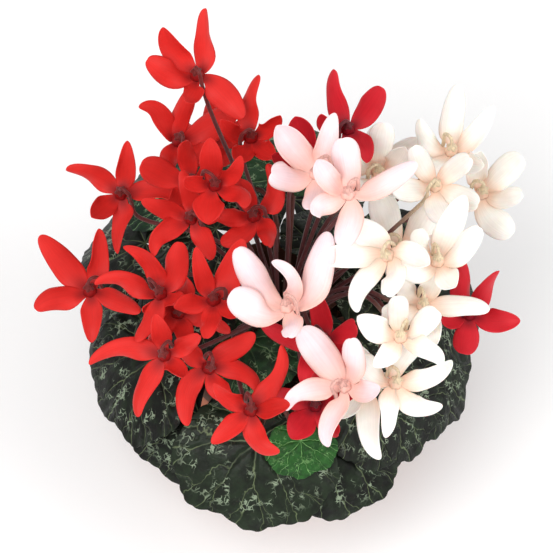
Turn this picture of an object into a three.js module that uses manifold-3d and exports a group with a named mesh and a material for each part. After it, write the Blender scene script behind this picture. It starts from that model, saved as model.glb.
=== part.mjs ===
// Potted cyclamen: a florist's cyclamen in full bloom, in a plain clay pot.
// Millimetres, +Z up. The origin is the middle of the pot's foot, and the plant's front faces -Y.

import * as THREE from 'three';
import { mergeVertices } from 'three/addons/utils/BufferGeometryUtils.js';
import Module from 'manifold-3d';

const wasm = await Module();
wasm.setup();

// Pot
const POT_HEIGHT = 130;
const POT_TOP_RADIUS = 74;
const POT_FOOT_RADIUS = 54;
const POT_WALL = 5;
const POT_FLOOR = 7;
const RIM_BAND_HEIGHT = 24;
const RIM_BAND_PROUD = 4;
const POT_SIDES = 24;
const DRAIN_HOLES = 4;
const DRAIN_RADIUS = 5;
const DRAIN_RING_RADIUS = 28;

// Soil and tuber
const SOIL_TOP = 116;
const SOIL_CROWN = 3;
const TUBER_RADIUS = 25;
const TUBER_FLATNESS = 0.62;
const TUBER_CENTRE = SOIL_TOP + 2;
const SEAT_GAP = 0.3;

// Stalks
const FLOWER_STALK_RADIUS = 1.3;
const LEAF_STALK_RADIUS = 1.5;
const STALK_SIDES = 4;
const CHIMNEY_TOP = 196;
const CHIMNEY_FOOT = 162;
const CHIMNEY_SHARE = 0.2;
const CHIMNEY_TAPER = 0.8;
const CROWN_SHARE = 0.13;
const KNEE_SHARE = 0.45;
const KNEE_RISE = 0.1;
const UNDER_BLOOM = { along: 16, down: 14, back: 6 };
const LEAF_CROWN_RADIUS = 18;
const LEAF_KNEE_RISE = 4;
const LEAF_KNEE_CLEARANCE = 8;
const LEAF_STALK_LEAN = 3;
const STALK_SEAT = 4;

// Ways that a stalk may take, tried in this order
const HOOK_RADII = [4.1, 3.6, 4.8, 5.6];
const HOOK_SPREADS = [1, 0.6, 1.5, 2];
const GAP_SHIFTS = [0, 0.1, -0.1, 0.2, -0.2];
const ARCHES = [0, 10, -10, 20, -20, 32];
const SWAYS = [0, 10, -10, 20, -20, 32, -32];
const LEAF_STANDS = [5, 9, 14];
const LEAF_ARCHES = [0, 6, 12, 18, 26, 34];
const LEAF_SWAYS = [0, 8, -8, 16, -16, 24, -24, 34, -34];

// Blooms
const PETALS = 5;
const PETAL_THICKNESS = 0.8;
const NARROWEST_PETAL = 16;
const PETAL_STATIONS = [0, 0.2, 0.5, 0.82, 1];
const THROAT_LENGTH = 7.5;
const THROAT_RADIUS = 5.2;
const MOUTH_DEPTH = 2.5;
const CUP_RADIUS = 3.64;
const CALYX_RADIUS = 3.4;
const CALYX_HEIGHT = 4.5;
const HOOK_HEIGHT = 4.6;
const AXIS_UPRIGHTNESS = 30;
const ROOT_DEPTH = 1.2;
const ROOT_SHARE = 0.62;
const CLAW_REACH = 0.24;
const CLAW_DROP = 0.06;
const CLAW_BOW = 0.4;
const RISE_SHARE = 0.55;
const RISE_BOW = 1.3;
const TURN_START = 0.1;
const TURN_END = 0.7;

// Leaf blades
const BLADE_THICKNESS = 0.9;
const BLADE_LENGTH = 50;
const BLADE_NARROWING = 22;
const BLADE_SHOULDER = 9;
const BLADE_BACK = 6;
const BLADE_TIP = 4;
const BLADE_TIP_ANGLE = 0.22;
const BLADE_FOLD = 0.0035;
const BLADE_SPOKES = 16;
const BLADE_NOTCH = THREE.MathUtils.degToRad(15);
const BLADE_TEETH = 8;
const TOOTH_DEPTH = 0.03;
const BLADE_WAVES = 5;
const WAVE_HEIGHT = 2.2;

// The plant is laid out as it is seen from the front and above, at this height of eye.
const VIEW_ELEVATION = THREE.MathUtils.degToRad(55);
const VIEW_RIGHT = new THREE.Vector3(1, 0, 0);
const VIEW_UP = new THREE.Vector3(0, Math.sin(VIEW_ELEVATION), Math.cos(VIEW_ELEVATION));
const VIEW_OUT = new THREE.Vector3(0, -Math.cos(VIEW_ELEVATION), Math.sin(VIEW_ELEVATION));
const UPRIGHT = new THREE.Vector3(0, 0, 1);

// Each bloom: its colour, then right, up and height of its calyx, then its five petals.
// Right and up are seen in the view above, height is over the pot's foot. A petal gives its
// tip's right, up and out from the calyx, the breadth that shows, and its sideways bow.
const BLOOMS = [
  ['scarlet', -50, 203, 236, [
    [28, 12, 16, 17, 0], [2, 26, 20, 17, 0], [-28, 14, 16, 17, 0],
    [-16, -14, 22, 16, 0], [16, -16, 22, 16, 0]]],
  ['white', 66, 188, 238, [
    [26, 14, 16, 18, 0], [-4, 26, 20, 17, 0], [-28, 10, 16, 17, 0],
    [-14, -16, 22, 16, 0], [18, -16, 22, 16, 0]]],
  ['scarlet', -58, 247, 345, [
    [8, 40, 8, 12, 3], [-22, 30, 14, 20, 5], [-29, 5, 20, 23, 0],
    [-8, -24, 24, 16, 0], [30, -30, 8, 24, 0]]],
  ['scarlet', -70, 204, 286, [
    [8, 30, 18, 18, 0], [-26, 20, 12, 17, -11], [-6, -22, 20, 14, 0],
    [26, -9, 20, 16, 0], [38, 18, 10, 26, 0]]],
  ['scarlet', -21, 205, 318, [
    [3, 39, 8, 11, 3], [-18, 6, 26, 16, 0], [-8, -22, 24, 18, 0],
    [18, -16, 24, 17, 0], [20, 13, 24, 15, 0]]],
  ['crimson', 44, 211, 320, [
    [-11, 36, 8, 12, 4], [-18, 4, 24, 12, 0], [-8, -20, 26, 15, 0],
    [13, -23, 18, 14, 0], [22, 24, 12, 20, 0]]],
  ['white', 115, 197, 285, [
    [4, 40, 8, 22, 0], [-23, 16, 20, 14, 3], [-14, -18, 26, 22, 0],
    [18, -13, 26, 20, 0], [27, 26, 12, 16, 0]]],
  ['white', 65, 182, 292, [
    [3, 28, 16, 24, 0], [-20, 8, 22, 16, 0], [-12, -20, 24, 18, 0],
    [12, -20, 24, 18, 0], [18, 15, 22, 22, 0]]],
  ['scarlet', -110, 167, 268, [
    [5, 31, 12, 17, 0], [-35, 13, 10, 12, -4], [-20, -19, 20, 19, 0],
    [-4, -41, 4, 11, 0], [43, -14, 4, 13, 9]]],
  ['scarlet', -63, 175, 280, [
    [-4, 26, 22, 15, 0], [-31, 9, 14, 26, 0], [-12, -18, 24, 16, 0],
    [12, -20, 22, 15, 0], [19, 9, 24, 14, 0]]],
  ['scarlet', -45, 172, 326, [
    [-3, 26, 18, 21, 0], [-21, 5, 24, 15, 0], [-5, -26, 14, 30, 0],
    [20, -16, 22, 13, 7], [17, 13, 26, 14, 0]]],
  ['crimson', 17, 186, 314, [
    [-9, 31, 12, 24, 0], [-26, 4, 18, 16, 0], [-10, -20, 22, 15, 0],
    [13, -21, 20, 14, 0], [21, 10, 20, 14, 0]]],
  ['white', 137, 168, 262, [
    [-2, 28, 20, 20, 0], [-28, -4, 20, 19, 0], [18, -30, 10, 25, 0],
    [23, -3, 22, 16, 0], [26, 24, 12, 22, 0]]],
  ['white', 103, 172, 298, [
    [-15, 22, 20, 20, 0], [-27, -4, 20, 20, 0], [5, -24, 20, 20, 0],
    [24, -13, 20, 20, 0], [20, 15, 22, 20, 0]]],
  ['pink', 22, 180, 338, [
    [13, 35, 8, 15, 4], [-27, 30, 12, 25, 0], [-27, -3, 18, 27, 0],
    [-3, -24, 24, 16, 0], [22, -12, 22, 15, 0]]],
  ['pink', 43, 166, 350, [
    [-3, 32, 12, 26, 0], [-21, 21, 16, 18, 0], [-22, -18, 16, 14, -6],
    [-4, -36, 10, 19, 0], [46, 18, 6, 16, 0]]],
  ['scarlet', -62, 150, 298, [
    [-4, 26, 20, 16, 0], [-30, 8, 18, 14, 0], [-23, -26, 10, 15, -10],
    [16, -30, 10, 15, 0], [23, 4, 22, 14, 0]]],
  ['scarlet', -20, 152, 292, [
    [12, 32, 8, 15, -8], [-9, 24, 22, 14, 0], [-24, -3, 24, 14, 0],
    [-22, -21, 12, 16, 0], [12, -20, 22, 12, 0]]],
  ['white', 80, 131, 272, [
    [-15, 35, 10, 26, 0], [-28, 14, 16, 16, 5], [-4, -24, 22, 16, 0],
    [26, 3, 22, 17, 0], [24, 31, 10, 25, 0]]],
  ['white', 104, 122, 290, [
    [-14, 20, 26, 16, 0], [-24, -8, 20, 20, 0], [12, -21, 20, 21, 0],
    [26, 18, 12, 22, 0], [18, 42, 4, 21, 0]]],
  ['scarlet', -131, 102, 240, [
    [6, 40, 8, 14, 0], [-33, 35, 8, 23, 0], [-34, -14, 12, 20, -5],
    [2, -36, 8, 17, 0], [34, -15, 12, 14, 0]]],
  ['scarlet', -83, 100, 270, [
    [14, 30, 14, 21, 0], [-22, 27, 14, 13, -9], [-40, 3, 10, 13, -10],
    [-15, -33, 10, 14, 0], [16, -9, 28, 13, 0]]],
  ['scarlet', -46, 96, 272, [
    [19, 37, 6, 22, 0], [-11, 30, 16, 16, 0], [-26, -4, 22, 14, 0],
    [-5, -24, 22, 15, 0], [21, -13, 22, 17, 0]]],
  ['scarlet', -70, 86, 250, [
    [8, 22, 24, 14, 0], [-26, 4, 20, 13, 0], [-18, -20, 20, 13, 0],
    [6, -24, 20, 14, 0], [33, -15, 10, 12, 0]]],
  ['white', 68, 124, 308, [
    [-24, 18, 12, 25, 0], [-45, -3, 2, 20, 0], [-18, -39, 6, 16, -9],
    [2, -24, 24, 18, 0], [31, -8, 16, 21, 0]]],
  ['white', 95, 92, 262, [
    [10, 27, 16, 21, 0], [-20, 17, 18, 14, 0], [-25, -8, 18, 20, 0],
    [6, -26, 18, 20, 0], [43, -5, 8, 15, 4]]],
  ['crimson', 127, 86, 228, [
    [18, 28, 10, 11, 0], [-6, 32, 12, 17, 0], [-22, -7, 20, 17, 0],
    [-5, -30, 12, 20, 0], [32, -7, 8, 19, 0]]],
  ['pink', 2, 92, 290, [
    [-6, 27, 22, 13, -6], [-31, 34, 8, 26, 0], [-36, 5, 10, 27, 0],
    [2, -18, 28, 14, 0], [28, 46, 0, 24, 0]]],
  ['crimson', 28, 68, 255, [
    [-7, 32, 12, 17, 0], [-41, 10, 4, 16, 4], [-12, -32, 10, 16, -5],
    [18, -16, 20, 14, 0], [22, 10, 20, 15, 0]]],
  ['white', 79, 71, 256, [
    [-2, 26, 22, 18, 0], [-27, 10, 14, 24, 0], [-16, -20, 18, 16, 0],
    [28, -22, 8, 15, 8], [22, 14, 16, 20, 0]]],
  ['scarlet', -80, 58, 252, [
    [-4, 24, 18, 18, 0], [-48, -8, 2, 13, -8], [-18, -41, 6, 15, -4],
    [14, -18, 22, 14, 0], [22, 8, 20, 14, 0]]],
  ['scarlet', -48, 49, 243, [
    [29, 23, 8, 16, -5], [-20, 15, 14, 17, 0], [-15, -39, 6, 15, -4],
    [16, -27, 12, 14, 0], [33, -17, 6, 13, 8]]],
  ['white', 55, 36, 199, [
    [-4, 24, 24, 15, 0], [-22, 8, 22, 15, 0], [-14, -20, 22, 15, 0],
    [11, -50, 2, 17, -8], [22, 2, 24, 14, 0]]],
  ['crimson', 22, 24, 214, [
    [4, 24, 20, 15, 0], [-28, 6, 14, 15, 0], [-15, -22, 12, 27, 0],
    [14, -20, 20, 14, 0], [24, 6, 18, 14, 0]]],
  ['scarlet', -21, 22, 232, [
    [21, 41, 4, 13, -11], [-24, 14, 20, 14, 0], [-25, -23, 10, 16, 0],
    [18, -31, 8, 14, -8], [24, 2, 22, 14, 0]]],
  ['pink', 40, 38, 246, [
    [6, 26, 20, 20, 0], [-28, 37, 4, 24, 0], [-39, -18, 2, 13, -9],
    [-12, -42, 2, 12, -4], [22, -3, 24, 17, 0]]],
  ['white', 77, 40, 228, [
    [13, 32, 10, 23, 0], [-28, 15, 14, 22, 0], [-6, -38, 6, 14, 0],
    [30, -16, 8, 15, -8], [37, 14, 6, 16, -6]]],
];

// Each leaf: compass direction, distance and height of its blade's base, its size, the slope at
// its base, the slope that it gains over its length, and its turn away from the plant's middle.
const LEAVES = [
  [10, 76, 198, 0.9, 6, 32, 4],
  [84, 76, 212, 0.85, 4, 26, -8],
  [140, 60, 192, 0.85, 6, 32, 10],
  [200, 60, 192, 0.85, 10, 34, -6],
  [246, 58, 190, 0.8, 8, 34, -4],
  [318, 60, 188, 0.85, 10, 32, -10],
  [181, 100, 139, 1.0, 30, 38, 0],
  [234, 97, 137, 1.0, 34, 34, 6],
  [286, 106, 137, 1.05, 36, 34, -4],
  [338, 98, 139, 1.0, 30, 34, 0],
  [30, 98, 141, 1.0, 22, 34, 4],
  [86, 98, 145, 1.0, 10, 30, 0],
  [156, 104, 170, 1.05, 18, 34, -4],
  [208, 102, 158, 1.05, 30, 36, -4],
  [261, 112, 150, 1.15, 36, 32, 0],
  [313, 98, 156, 1.0, 30, 36, 2],
  [2, 100, 154, 0.9, 24, 34, -6],
  [130, 96, 196, 1.0, 12, 32, 4],
  [58, 56, 160, 0.75, 6, 26, 0],
  [276, 118, 163, 0.5, 44, 24, 2],
];

const FINISHES = {
  clay: { color: 0xb5674a, roughness: 0.85 },
  soil: { color: 0x33261d, roughness: 1 },
  stalk: { color: 0x6b2f2c, roughness: 0.55 },
  leaf: { color: 0x2a4a30, roughness: 0.5 },
  scarlet: { color: 0xe5332a, roughness: 0.55 },
  crimson: { color: 0xdc2c34, roughness: 0.55 },
  pink: { color: 0xf8cdcd, roughness: 0.55 },
  white: { color: 0xfbf5e6, roughness: 0.55 },
};

function finish(name) {
  return new THREE.MeshStandardMaterial({ name, metalness: 0, ...FINISHES[name] });
}

// Keeps only the places and the faces of a closed geometry, and makes it a solid.
function solid(geometry) {
  const bare = new THREE.BufferGeometry();
  bare.setAttribute('position', geometry.attributes.position.clone());
  if (geometry.index) bare.setIndex(geometry.index.clone());
  const merged = mergeVertices(bare, 1e-4);
  const corners = merged.index.array;
  const faces = [];
  for (let i = 0; i < corners.length; i += 3) {
    const [a, b, c] = [corners[i], corners[i + 1], corners[i + 2]];
    if (a !== b && b !== c && c !== a) faces.push(a, b, c);
  }
  return new wasm.Manifold(new wasm.Mesh({
    numProp: 3,
    vertProperties: new Float32Array(merged.attributes.position.array),
    triVerts: new Uint32Array(faces),
  }));
}

function surfaceOf(body) {
  const mesh = body.getMesh();
  const geometry = new THREE.BufferGeometry();
  geometry.setAttribute('position', new THREE.BufferAttribute(mesh.vertProperties.slice(), 3));
  geometry.setIndex(new THREE.BufferAttribute(mesh.triVerts.slice(), 1));
  geometry.computeVertexNormals();
  return geometry;
}

function named(name, body, material) {
  const mesh = new THREE.Mesh(surfaceOf(body), material);
  mesh.name = name;
  return mesh;
}

// Turns a lathe profile of [radius, height] points about +Z.
function turned(profile, sides) {
  const points = profile.map(([radius, height]) => new THREE.Vector2(radius, height));
  return new THREE.LatheGeometry(points, sides).rotateX(Math.PI / 2);
}

// Makes a flat sheet a plate: shape(x, y) gives each point's place and the way it faces, and
// both faces of the plate are split into the same triangles.
function plate(sheet, shape, thickness) {
  const flat = sheet.attributes.position;
  const index = sheet.index.array;
  const count = flat.count;
  const places = new Float32Array(count * 6);
  for (let i = 0; i < count; i += 1) {
    const { point, normal } = shape(flat.getX(i), flat.getY(i));
    point.clone().addScaledVector(normal, thickness / 2).toArray(places, i * 3);
    point.clone().addScaledVector(normal, -thickness / 2).toArray(places, (count + i) * 3);
  }
  const used = new Map();
  const key = (a, b) => `${a} ${b}`;
  const faces = [];
  for (let i = 0; i < index.length; i += 3) {
    const [a, b, c] = [index[i], index[i + 1], index[i + 2]];
    faces.push(a, b, c, c + count, b + count, a + count);
    for (const [from, to] of [[a, b], [b, c], [c, a]]) used.set(key(from, to), [from, to]);
  }
  for (const [from, to] of used.values()) {
    if (used.has(key(to, from))) continue;
    faces.push(from, from + count, to, to, from + count, to + count);
  }
  const geometry = new THREE.BufferGeometry();
  geometry.setAttribute('position', new THREE.BufferAttribute(places, 3));
  geometry.setIndex(faces);
  return solid(geometry);
}

// A path whose steps are shared out evenly between its points, so that a tight hook gets as
// many of them as a long straight run.
class SteppedPath extends THREE.CatmullRomCurve3 {
  getUtoTmapping(u) {
    return u;
  }
}

function tube(points, radius, sides) {
  const section = new THREE.Shape();
  for (let i = 0; i < sides; i += 1) {
    const angle = (i * 2 * Math.PI) / sides;
    const corner = [radius * Math.cos(angle), radius * Math.sin(angle)];
    if (i === 0) section.moveTo(...corner);
    else section.lineTo(...corner);
  }
  const extrudePath = new SteppedPath(points, false, 'centripetal');
  return solid(new THREE.ExtrudeGeometry(section, {
    steps: points.length - 1, bevelEnabled: false, extrudePath,
  }));
}

function boxesMeet(one, other) {
  const a = one.boundingBox();
  const b = other.boundingBox();
  return [0, 1, 2].every((axis) => a.min[axis] < b.max[axis] && b.min[axis] < a.max[axis]);
}

function crosses(body, others) {
  return others.some((other) => boxesMeet(body, other) && body.intersect(other).volume() > 0);
}

// Pot: tapered, with a rim band and drainage holes in a ring round a solid middle.
function potBody() {
  const bandFoot = POT_HEIGHT - RIM_BAND_HEIGHT;
  const wallAt = (height) => THREE.MathUtils.lerp(POT_FOOT_RADIUS, POT_TOP_RADIUS - RIM_BAND_PROUD,
    height / POT_HEIGHT);
  const profile = [
    [0, 0],
    [POT_FOOT_RADIUS, 0],
    [wallAt(bandFoot), bandFoot],
    [wallAt(bandFoot) + RIM_BAND_PROUD, bandFoot + 2],
    [POT_TOP_RADIUS, POT_HEIGHT],
    [POT_TOP_RADIUS - RIM_BAND_PROUD - POT_WALL, POT_HEIGHT],
    [wallAt(POT_FLOOR) - POT_WALL, POT_FLOOR],
    [0, POT_FLOOR],
  ];
  let pot = solid(turned(profile, POT_SIDES));
  for (let i = 0; i < DRAIN_HOLES; i += 1) {
    const angle = ((i + 0.5) * 2 * Math.PI) / DRAIN_HOLES;
    const hole = new THREE.CylinderGeometry(DRAIN_RADIUS, DRAIN_RADIUS, 4 * POT_FLOOR, 8);
    hole.rotateX(Math.PI / 2);
    hole.translate(DRAIN_RING_RADIUS * Math.cos(angle), DRAIN_RING_RADIUS * Math.sin(angle), 0);
    pot = pot.subtract(solid(hole));
  }
  return pot;
}

function innerPotRadius(height) {
  const share = (height - POT_FLOOR) / (POT_HEIGHT - POT_FLOOR);
  const foot = THREE.MathUtils.lerp(POT_FOOT_RADIUS, POT_TOP_RADIUS - RIM_BAND_PROUD,
    POT_FLOOR / POT_HEIGHT) - POT_WALL;
  return THREE.MathUtils.lerp(foot, POT_TOP_RADIUS - RIM_BAND_PROUD - POT_WALL, share);
}

function tuberBody(grown) {
  const tuber = new THREE.SphereGeometry(TUBER_RADIUS + grown, 12, 8).rotateX(Math.PI / 2);
  tuber.scale(1, 1, TUBER_FLATNESS);
  tuber.translate(0, 0, TUBER_CENTRE);
  return solid(tuber);
}

// Soil: one plug that fills the pot to below its rim, with a hollow for the tuber.
function soilBody() {
  const foot = POT_FLOOR + SEAT_GAP;
  const fit = 1.5 * SEAT_GAP;
  const profile = [
    [0, foot],
    [innerPotRadius(foot) - fit, foot],
    [innerPotRadius(SOIL_TOP) - fit, SOIL_TOP],
    [innerPotRadius(SOIL_TOP) / 2, SOIL_TOP + SOIL_CROWN],
    [0, SOIL_TOP + SOIL_CROWN],
  ];
  return solid(turned(profile, POT_SIDES)).subtract(tuberBody(2 * SEAT_GAP));
}

// Breadth of a petal along its length, as a share of its widest: a narrow claw, a broad blade
// and a round tip.
function petalBreadth(along) {
  if (along >= 1) return 0;
  const blade = Math.sin(Math.PI * along ** 1.45) ** 0.6;
  return blade * (0.4 + 0.6 * smoothStep(0, 0.4, along)) + 0.15 * (1 - along) ** 6;
}

function smoothStep(from, to, value) {
  const x = THREE.MathUtils.clamp((value - from) / (to - from), 0, 1);
  return x * x * (3 - 2 * x);
}

function inView(right, up, out) {
  return new THREE.Vector3()
    .addScaledVector(VIEW_RIGHT, right)
    .addScaledVector(VIEW_UP, up)
    .addScaledVector(VIEW_OUT, out);
}

// A bloom's own frame: its calyx, its axis from the mouth up to the calyx, and the sides on
// which its petals leave the throat, spread evenly however their tips lie. Petals are taken
// in order round the axis.
function bloomFrame([, right, up, height, petals], forward) {
  const calyx = new THREE.Vector3(right, (up - height * VIEW_UP.z) / VIEW_UP.y, height);
  calyx.addScaledVector(VIEW_OUT, forward);
  const tips = petals.map(([tipRight, tipUp, tipOut]) => inView(tipRight, tipUp, tipOut));
  const axis = new THREE.Vector3(0, 0, AXIS_UPRIGHTNESS);
  for (const tip of tips) axis.addScaledVector(tip, 1 / PETALS);
  axis.normalize();
  const side = new THREE.Vector3().crossVectors(axis, VIEW_RIGHT).normalize();
  const front = new THREE.Vector3().crossVectors(side, axis);
  const angleOf = (tip) => Math.atan2(tip.dot(side), tip.dot(front));
  const order = petals.map((petal, i) => ({ tip: tips[i], shown: petal[3], bow: petal[4] }))
    .sort((one, other) => angleOf(one.tip) - angleOf(other.tip));
  const drift = new THREE.Vector2();
  order.forEach(({ tip }, i) => {
    const off = angleOf(tip) - (i * 2 * Math.PI) / PETALS;
    drift.add(new THREE.Vector2(Math.cos(off), Math.sin(off)));
  });
  const start = drift.angle();
  const sideAt = (turns) => {
    const angle = start + (turns * 2 * Math.PI) / PETALS;
    return front.clone().multiplyScalar(Math.cos(angle)).addScaledVector(side, Math.sin(angle));
  };
  return { calyx, axis, petals: order, sideAt };
}

// One petal: it leaves the mouth's rim, sweeps back past the throat, and turns its blade.
function petalBody(frame, index, thickness) {
  const { calyx, axis } = frame;
  const { tip: offset, shown, bow } = frame.petals[index];
  const away = frame.sideAt(index);
  const tip = calyx.clone().add(offset);
  const reach = offset.length();
  const root = calyx.clone()
    .addScaledVector(axis, ROOT_DEPTH - THROAT_LENGTH)
    .addScaledVector(away, ROOT_SHARE * THROAT_RADIUS);
  const bulge = new THREE.Vector3().crossVectors(VIEW_OUT, offset).normalize();
  const turn = root.clone()
    .addScaledVector(away, CLAW_REACH * reach)
    .addScaledVector(axis, -CLAW_DROP * reach)
    .addScaledVector(bulge, CLAW_BOW * bow);
  const rise = turn.clone().lerp(tip, RISE_SHARE).addScaledVector(bulge, RISE_BOW * bow);
  const spine = new THREE.CubicBezierCurve3(root, turn, rise, tip);
  const breadth = Math.max(shown, NARROWEST_PETAL);
  const roll = Math.acos(shown / breadth) * (index % 2 ? 1 : -1);
  const atRoot = new THREE.Vector3().crossVectors(axis, away);

  const shape = (x, y) => {
    const along = PETAL_STATIONS[Math.round((0.5 - y) * (PETAL_STATIONS.length - 1))];
    const tangent = spine.getTangent(along);
    const facing = new THREE.Vector3().crossVectors(tangent, VIEW_OUT).normalize();
    if (facing.dot(atRoot) < 0) facing.negate();
    const share = smoothStep(TURN_START, TURN_END, along);
    const across = atRoot.clone().lerp(facing, share);
    across.addScaledVector(tangent, -across.dot(tangent)).normalize();
    across.applyAxisAngle(tangent, roll * share);
    const normal = new THREE.Vector3().crossVectors(tangent, across).normalize();
    const half = (breadth / 2) * petalBreadth(along);
    return { point: spine.getPoint(along).addScaledVector(across, 2 * x * half), normal };
  };
  return plate(new THREE.PlaneGeometry(1, 1, 1, PETAL_STATIONS.length - 1), shape, thickness);
}

// Sets a turned piece on a bloom's calyx with one of its flat sides under each petal.
function petalwise(frame) {
  const behind = frame.sideAt(0.5).negate();
  const beside = new THREE.Vector3().crossVectors(behind, frame.axis);
  return new THREE.Matrix4().makeBasis(beside, behind, frame.axis).setPosition(frame.calyx);
}

function throatBody(frame) {
  const profile = [
    [0, MOUTH_DEPTH - THROAT_LENGTH],
    [THROAT_RADIUS, -THROAT_LENGTH],
    [CUP_RADIUS, 0],
    [0, 0],
  ];
  return solid(turned(profile, PETALS).applyMatrix4(petalwise(frame)));
}

function bloomBody(bloom, forward, thickness) {
  const frame = bloomFrame(bloom, forward);
  let body = throatBody(frame);
  for (let i = 0; i < PETALS; i += 1) body = body.add(petalBody(frame, i, thickness));
  return body;
}

// Places the blooms one after another: one that would cross another moves along the line of
// view, by as little as brings it clear, forward or back.
function placeBlooms() {
  const step = 1.5;
  const placed = [];
  for (const bloom of BLOOMS) {
    const bodies = placed.map((other) => other.body);
    let forward = 0;
    while (crosses(bloomBody(bloom, forward, PETAL_THICKNESS + 2 * SEAT_GAP), bodies)) {
      forward = forward > 0 ? -forward : step - forward;
    }
    placed.push({
      body: bloomBody(bloom, forward, PETAL_THICKNESS),
      frame: bloomFrame(bloom, forward),
      colour: bloom[0],
      forward,
    });
  }
  return placed;
}

// Heart-shaped outline of a blade, as the distance from its base at an angle off its tip.
function bladeReach(angle) {
  const turn = Math.abs(angle) / Math.PI;
  const shoulder = BLADE_SHOULDER * Math.sin(Math.PI * Math.min(turn * 1.25, 1));
  const tip = BLADE_TIP * Math.exp(-((angle / BLADE_TIP_ANGLE) ** 2));
  return BLADE_LENGTH - BLADE_NARROWING * turn + shoulder - BLADE_BACK * turn ** 6 + tip;
}

function leafFrame([compass, distance, height, size, slope, gain, turn], lift) {
  const radial = THREE.MathUtils.degToRad(compass);
  const heading = THREE.MathUtils.degToRad(compass + turn);
  return {
    base: new THREE.Vector3(distance * Math.cos(radial), distance * Math.sin(radial), height + lift),
    ahead: new THREE.Vector3(Math.cos(heading), Math.sin(heading), 0),
    aside: new THREE.Vector3(-Math.sin(heading), Math.cos(heading), 0),
    size,
    slope: THREE.MathUtils.degToRad(slope),
    gain: THREE.MathUtils.degToRad(gain) / (BLADE_LENGTH * size),
    phase: compass,
  };
}

// A point of a blade that lies so far ahead of its base and so far to the side of it.
function bladePoint(frame, ahead, aside) {
  const { base, slope, gain, size, phase } = frame;
  const run = (Math.sin(slope + gain * ahead) - Math.sin(slope)) / gain;
  const drop = (Math.cos(slope) - Math.cos(slope + gain * ahead)) / gain;
  const angle = Math.atan2(aside, ahead);
  const out = Math.hypot(aside, ahead) / (bladeReach(angle) * size);
  const wave = WAVE_HEIGHT * size * out * out * Math.sin(BLADE_WAVES * angle + phase);
  const fold = (BLADE_FOLD * aside * aside) / size;
  return base.clone()
    .addScaledVector(frame.ahead, run)
    .addScaledVector(frame.aside, aside)
    .addScaledVector(UPRIGHT, wave - drop - fold);
}

function bladeNormal(frame, ahead, aside) {
  const step = 0.5;
  const forth = bladePoint(frame, ahead + step, aside).sub(bladePoint(frame, ahead - step, aside));
  const across = bladePoint(frame, ahead, aside + step).sub(bladePoint(frame, ahead, aside - step));
  return forth.cross(across).normalize();
}

function bladeBody(frame, thickness) {
  const arc = 2 * (Math.PI - BLADE_NOTCH);
  const sheet = new THREE.RingGeometry(0, 1, BLADE_SPOKES, 2, -arc / 2, arc);
  const shape = (x, y) => {
    const out = Math.hypot(x, y);
    const angle = Math.atan2(y, x);
    const tooth = 1 + TOOTH_DEPTH * out * Math.cos((2 * Math.PI * BLADE_TEETH * angle) / arc);
    const reach = out * tooth * bladeReach(angle) * frame.size;
    const [ahead, aside] = [reach * Math.cos(angle), reach * Math.sin(angle)];
    const point = bladePoint(frame, ahead, aside);
    return { point, normal: bladeNormal(frame, ahead, aside) };
  };
  return plate(sheet, shape, thickness);
}

// Places the leaves in turn: one that would cross another is lifted until it is clear.
function placeLeaves() {
  const step = 1.5;
  const placed = [];
  for (const leaf of LEAVES) {
    const bodies = placed.map((other) => other.body);
    let lift = 0;
    while (crosses(bladeBody(leafFrame(leaf, lift), BLADE_THICKNESS + 2 * SEAT_GAP), bodies)) lift += step;
    const frame = leafFrame(leaf, lift);
    placed.push({ body: bladeBody(frame, BLADE_THICKNESS), frame, lift });
  }
  return placed;
}

// Where a stalk leaves the tuber's crown, in the direction of what it carries.
function crownPoint(carried, distance) {
  const point = new THREE.Vector3(carried.x, carried.y, 0).setLength(distance);
  return point.setZ(TUBER_CENTRE + (TUBER_RADIUS * TUBER_FLATNESS) / 2);
}

// Points of a flower stalk: up through the middle of the leaves, out to its bloom, up through
// the gap between two petals, and over in a hook that carries the bloom from above.
function flowerStalkPoints(frame, { gap, radius, spread, arch, sway }) {
  const { calyx, axis } = frame;
  const beside = frame.sideAt(gap + 0.5);
  const outward = new THREE.Vector3(calyx.x, calyx.y, 0);
  const distance = outward.length();
  outward.normalize();
  const chimney = outward.clone().multiplyScalar(CHIMNEY_SHARE * distance);
  const hook = calyx.clone().addScaledVector(axis, HOOK_HEIGHT).addScaledVector(beside, radius);
  const onHook = (angle) => hook.clone()
    .addScaledVector(beside, radius * Math.cos(angle))
    .addScaledVector(axis, radius * Math.sin(angle));
  const under = calyx.clone()
    .addScaledVector(axis, -spread * UNDER_BLOOM.along)
    .addScaledVector(UPRIGHT, -spread * UNDER_BLOOM.down)
    .addScaledVector(beside, 2 * radius)
    .addScaledVector(outward, -spread * UNDER_BLOOM.back);
  const knee = chimney.clone().setZ(CHIMNEY_TOP).lerp(under, KNEE_SHARE);
  knee.z += KNEE_RISE * distance + arch;
  knee.addScaledVector(new THREE.Vector3().crossVectors(UPRIGHT, outward), sway);
  return [
    crownPoint(calyx, CROWN_SHARE * distance),
    chimney.clone().multiplyScalar(CHIMNEY_TAPER).setZ(CHIMNEY_FOOT),
    knee,
    under,
    calyx.clone().addScaledVector(axis, -THROAT_LENGTH).addScaledVector(beside, 2 * radius),
    onHook(0),
    onHook(Math.PI / 3),
    onHook((2 * Math.PI) / 3),
    calyx.clone().addScaledVector(axis, SEAT_GAP + 2),
  ];
}

function calyxBody(frame) {
  const profile = [
    [0, SEAT_GAP],
    [CALYX_RADIUS, SEAT_GAP],
    [0, CALYX_HEIGHT],
  ];
  return solid(turned(profile, PETALS).applyMatrix4(petalwise(frame)));
}

// Whether the run of a flower stalk between two of its points, with a little air, is clear.
function isClear(frame, bend, from, to, obstacles) {
  const run = flowerStalkPoints(frame, bend).slice(from, to);
  return !crosses(tube(run, FLOWER_STALK_RADIUS + SEAT_GAP, STALK_SIDES), obstacles);
}

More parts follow.
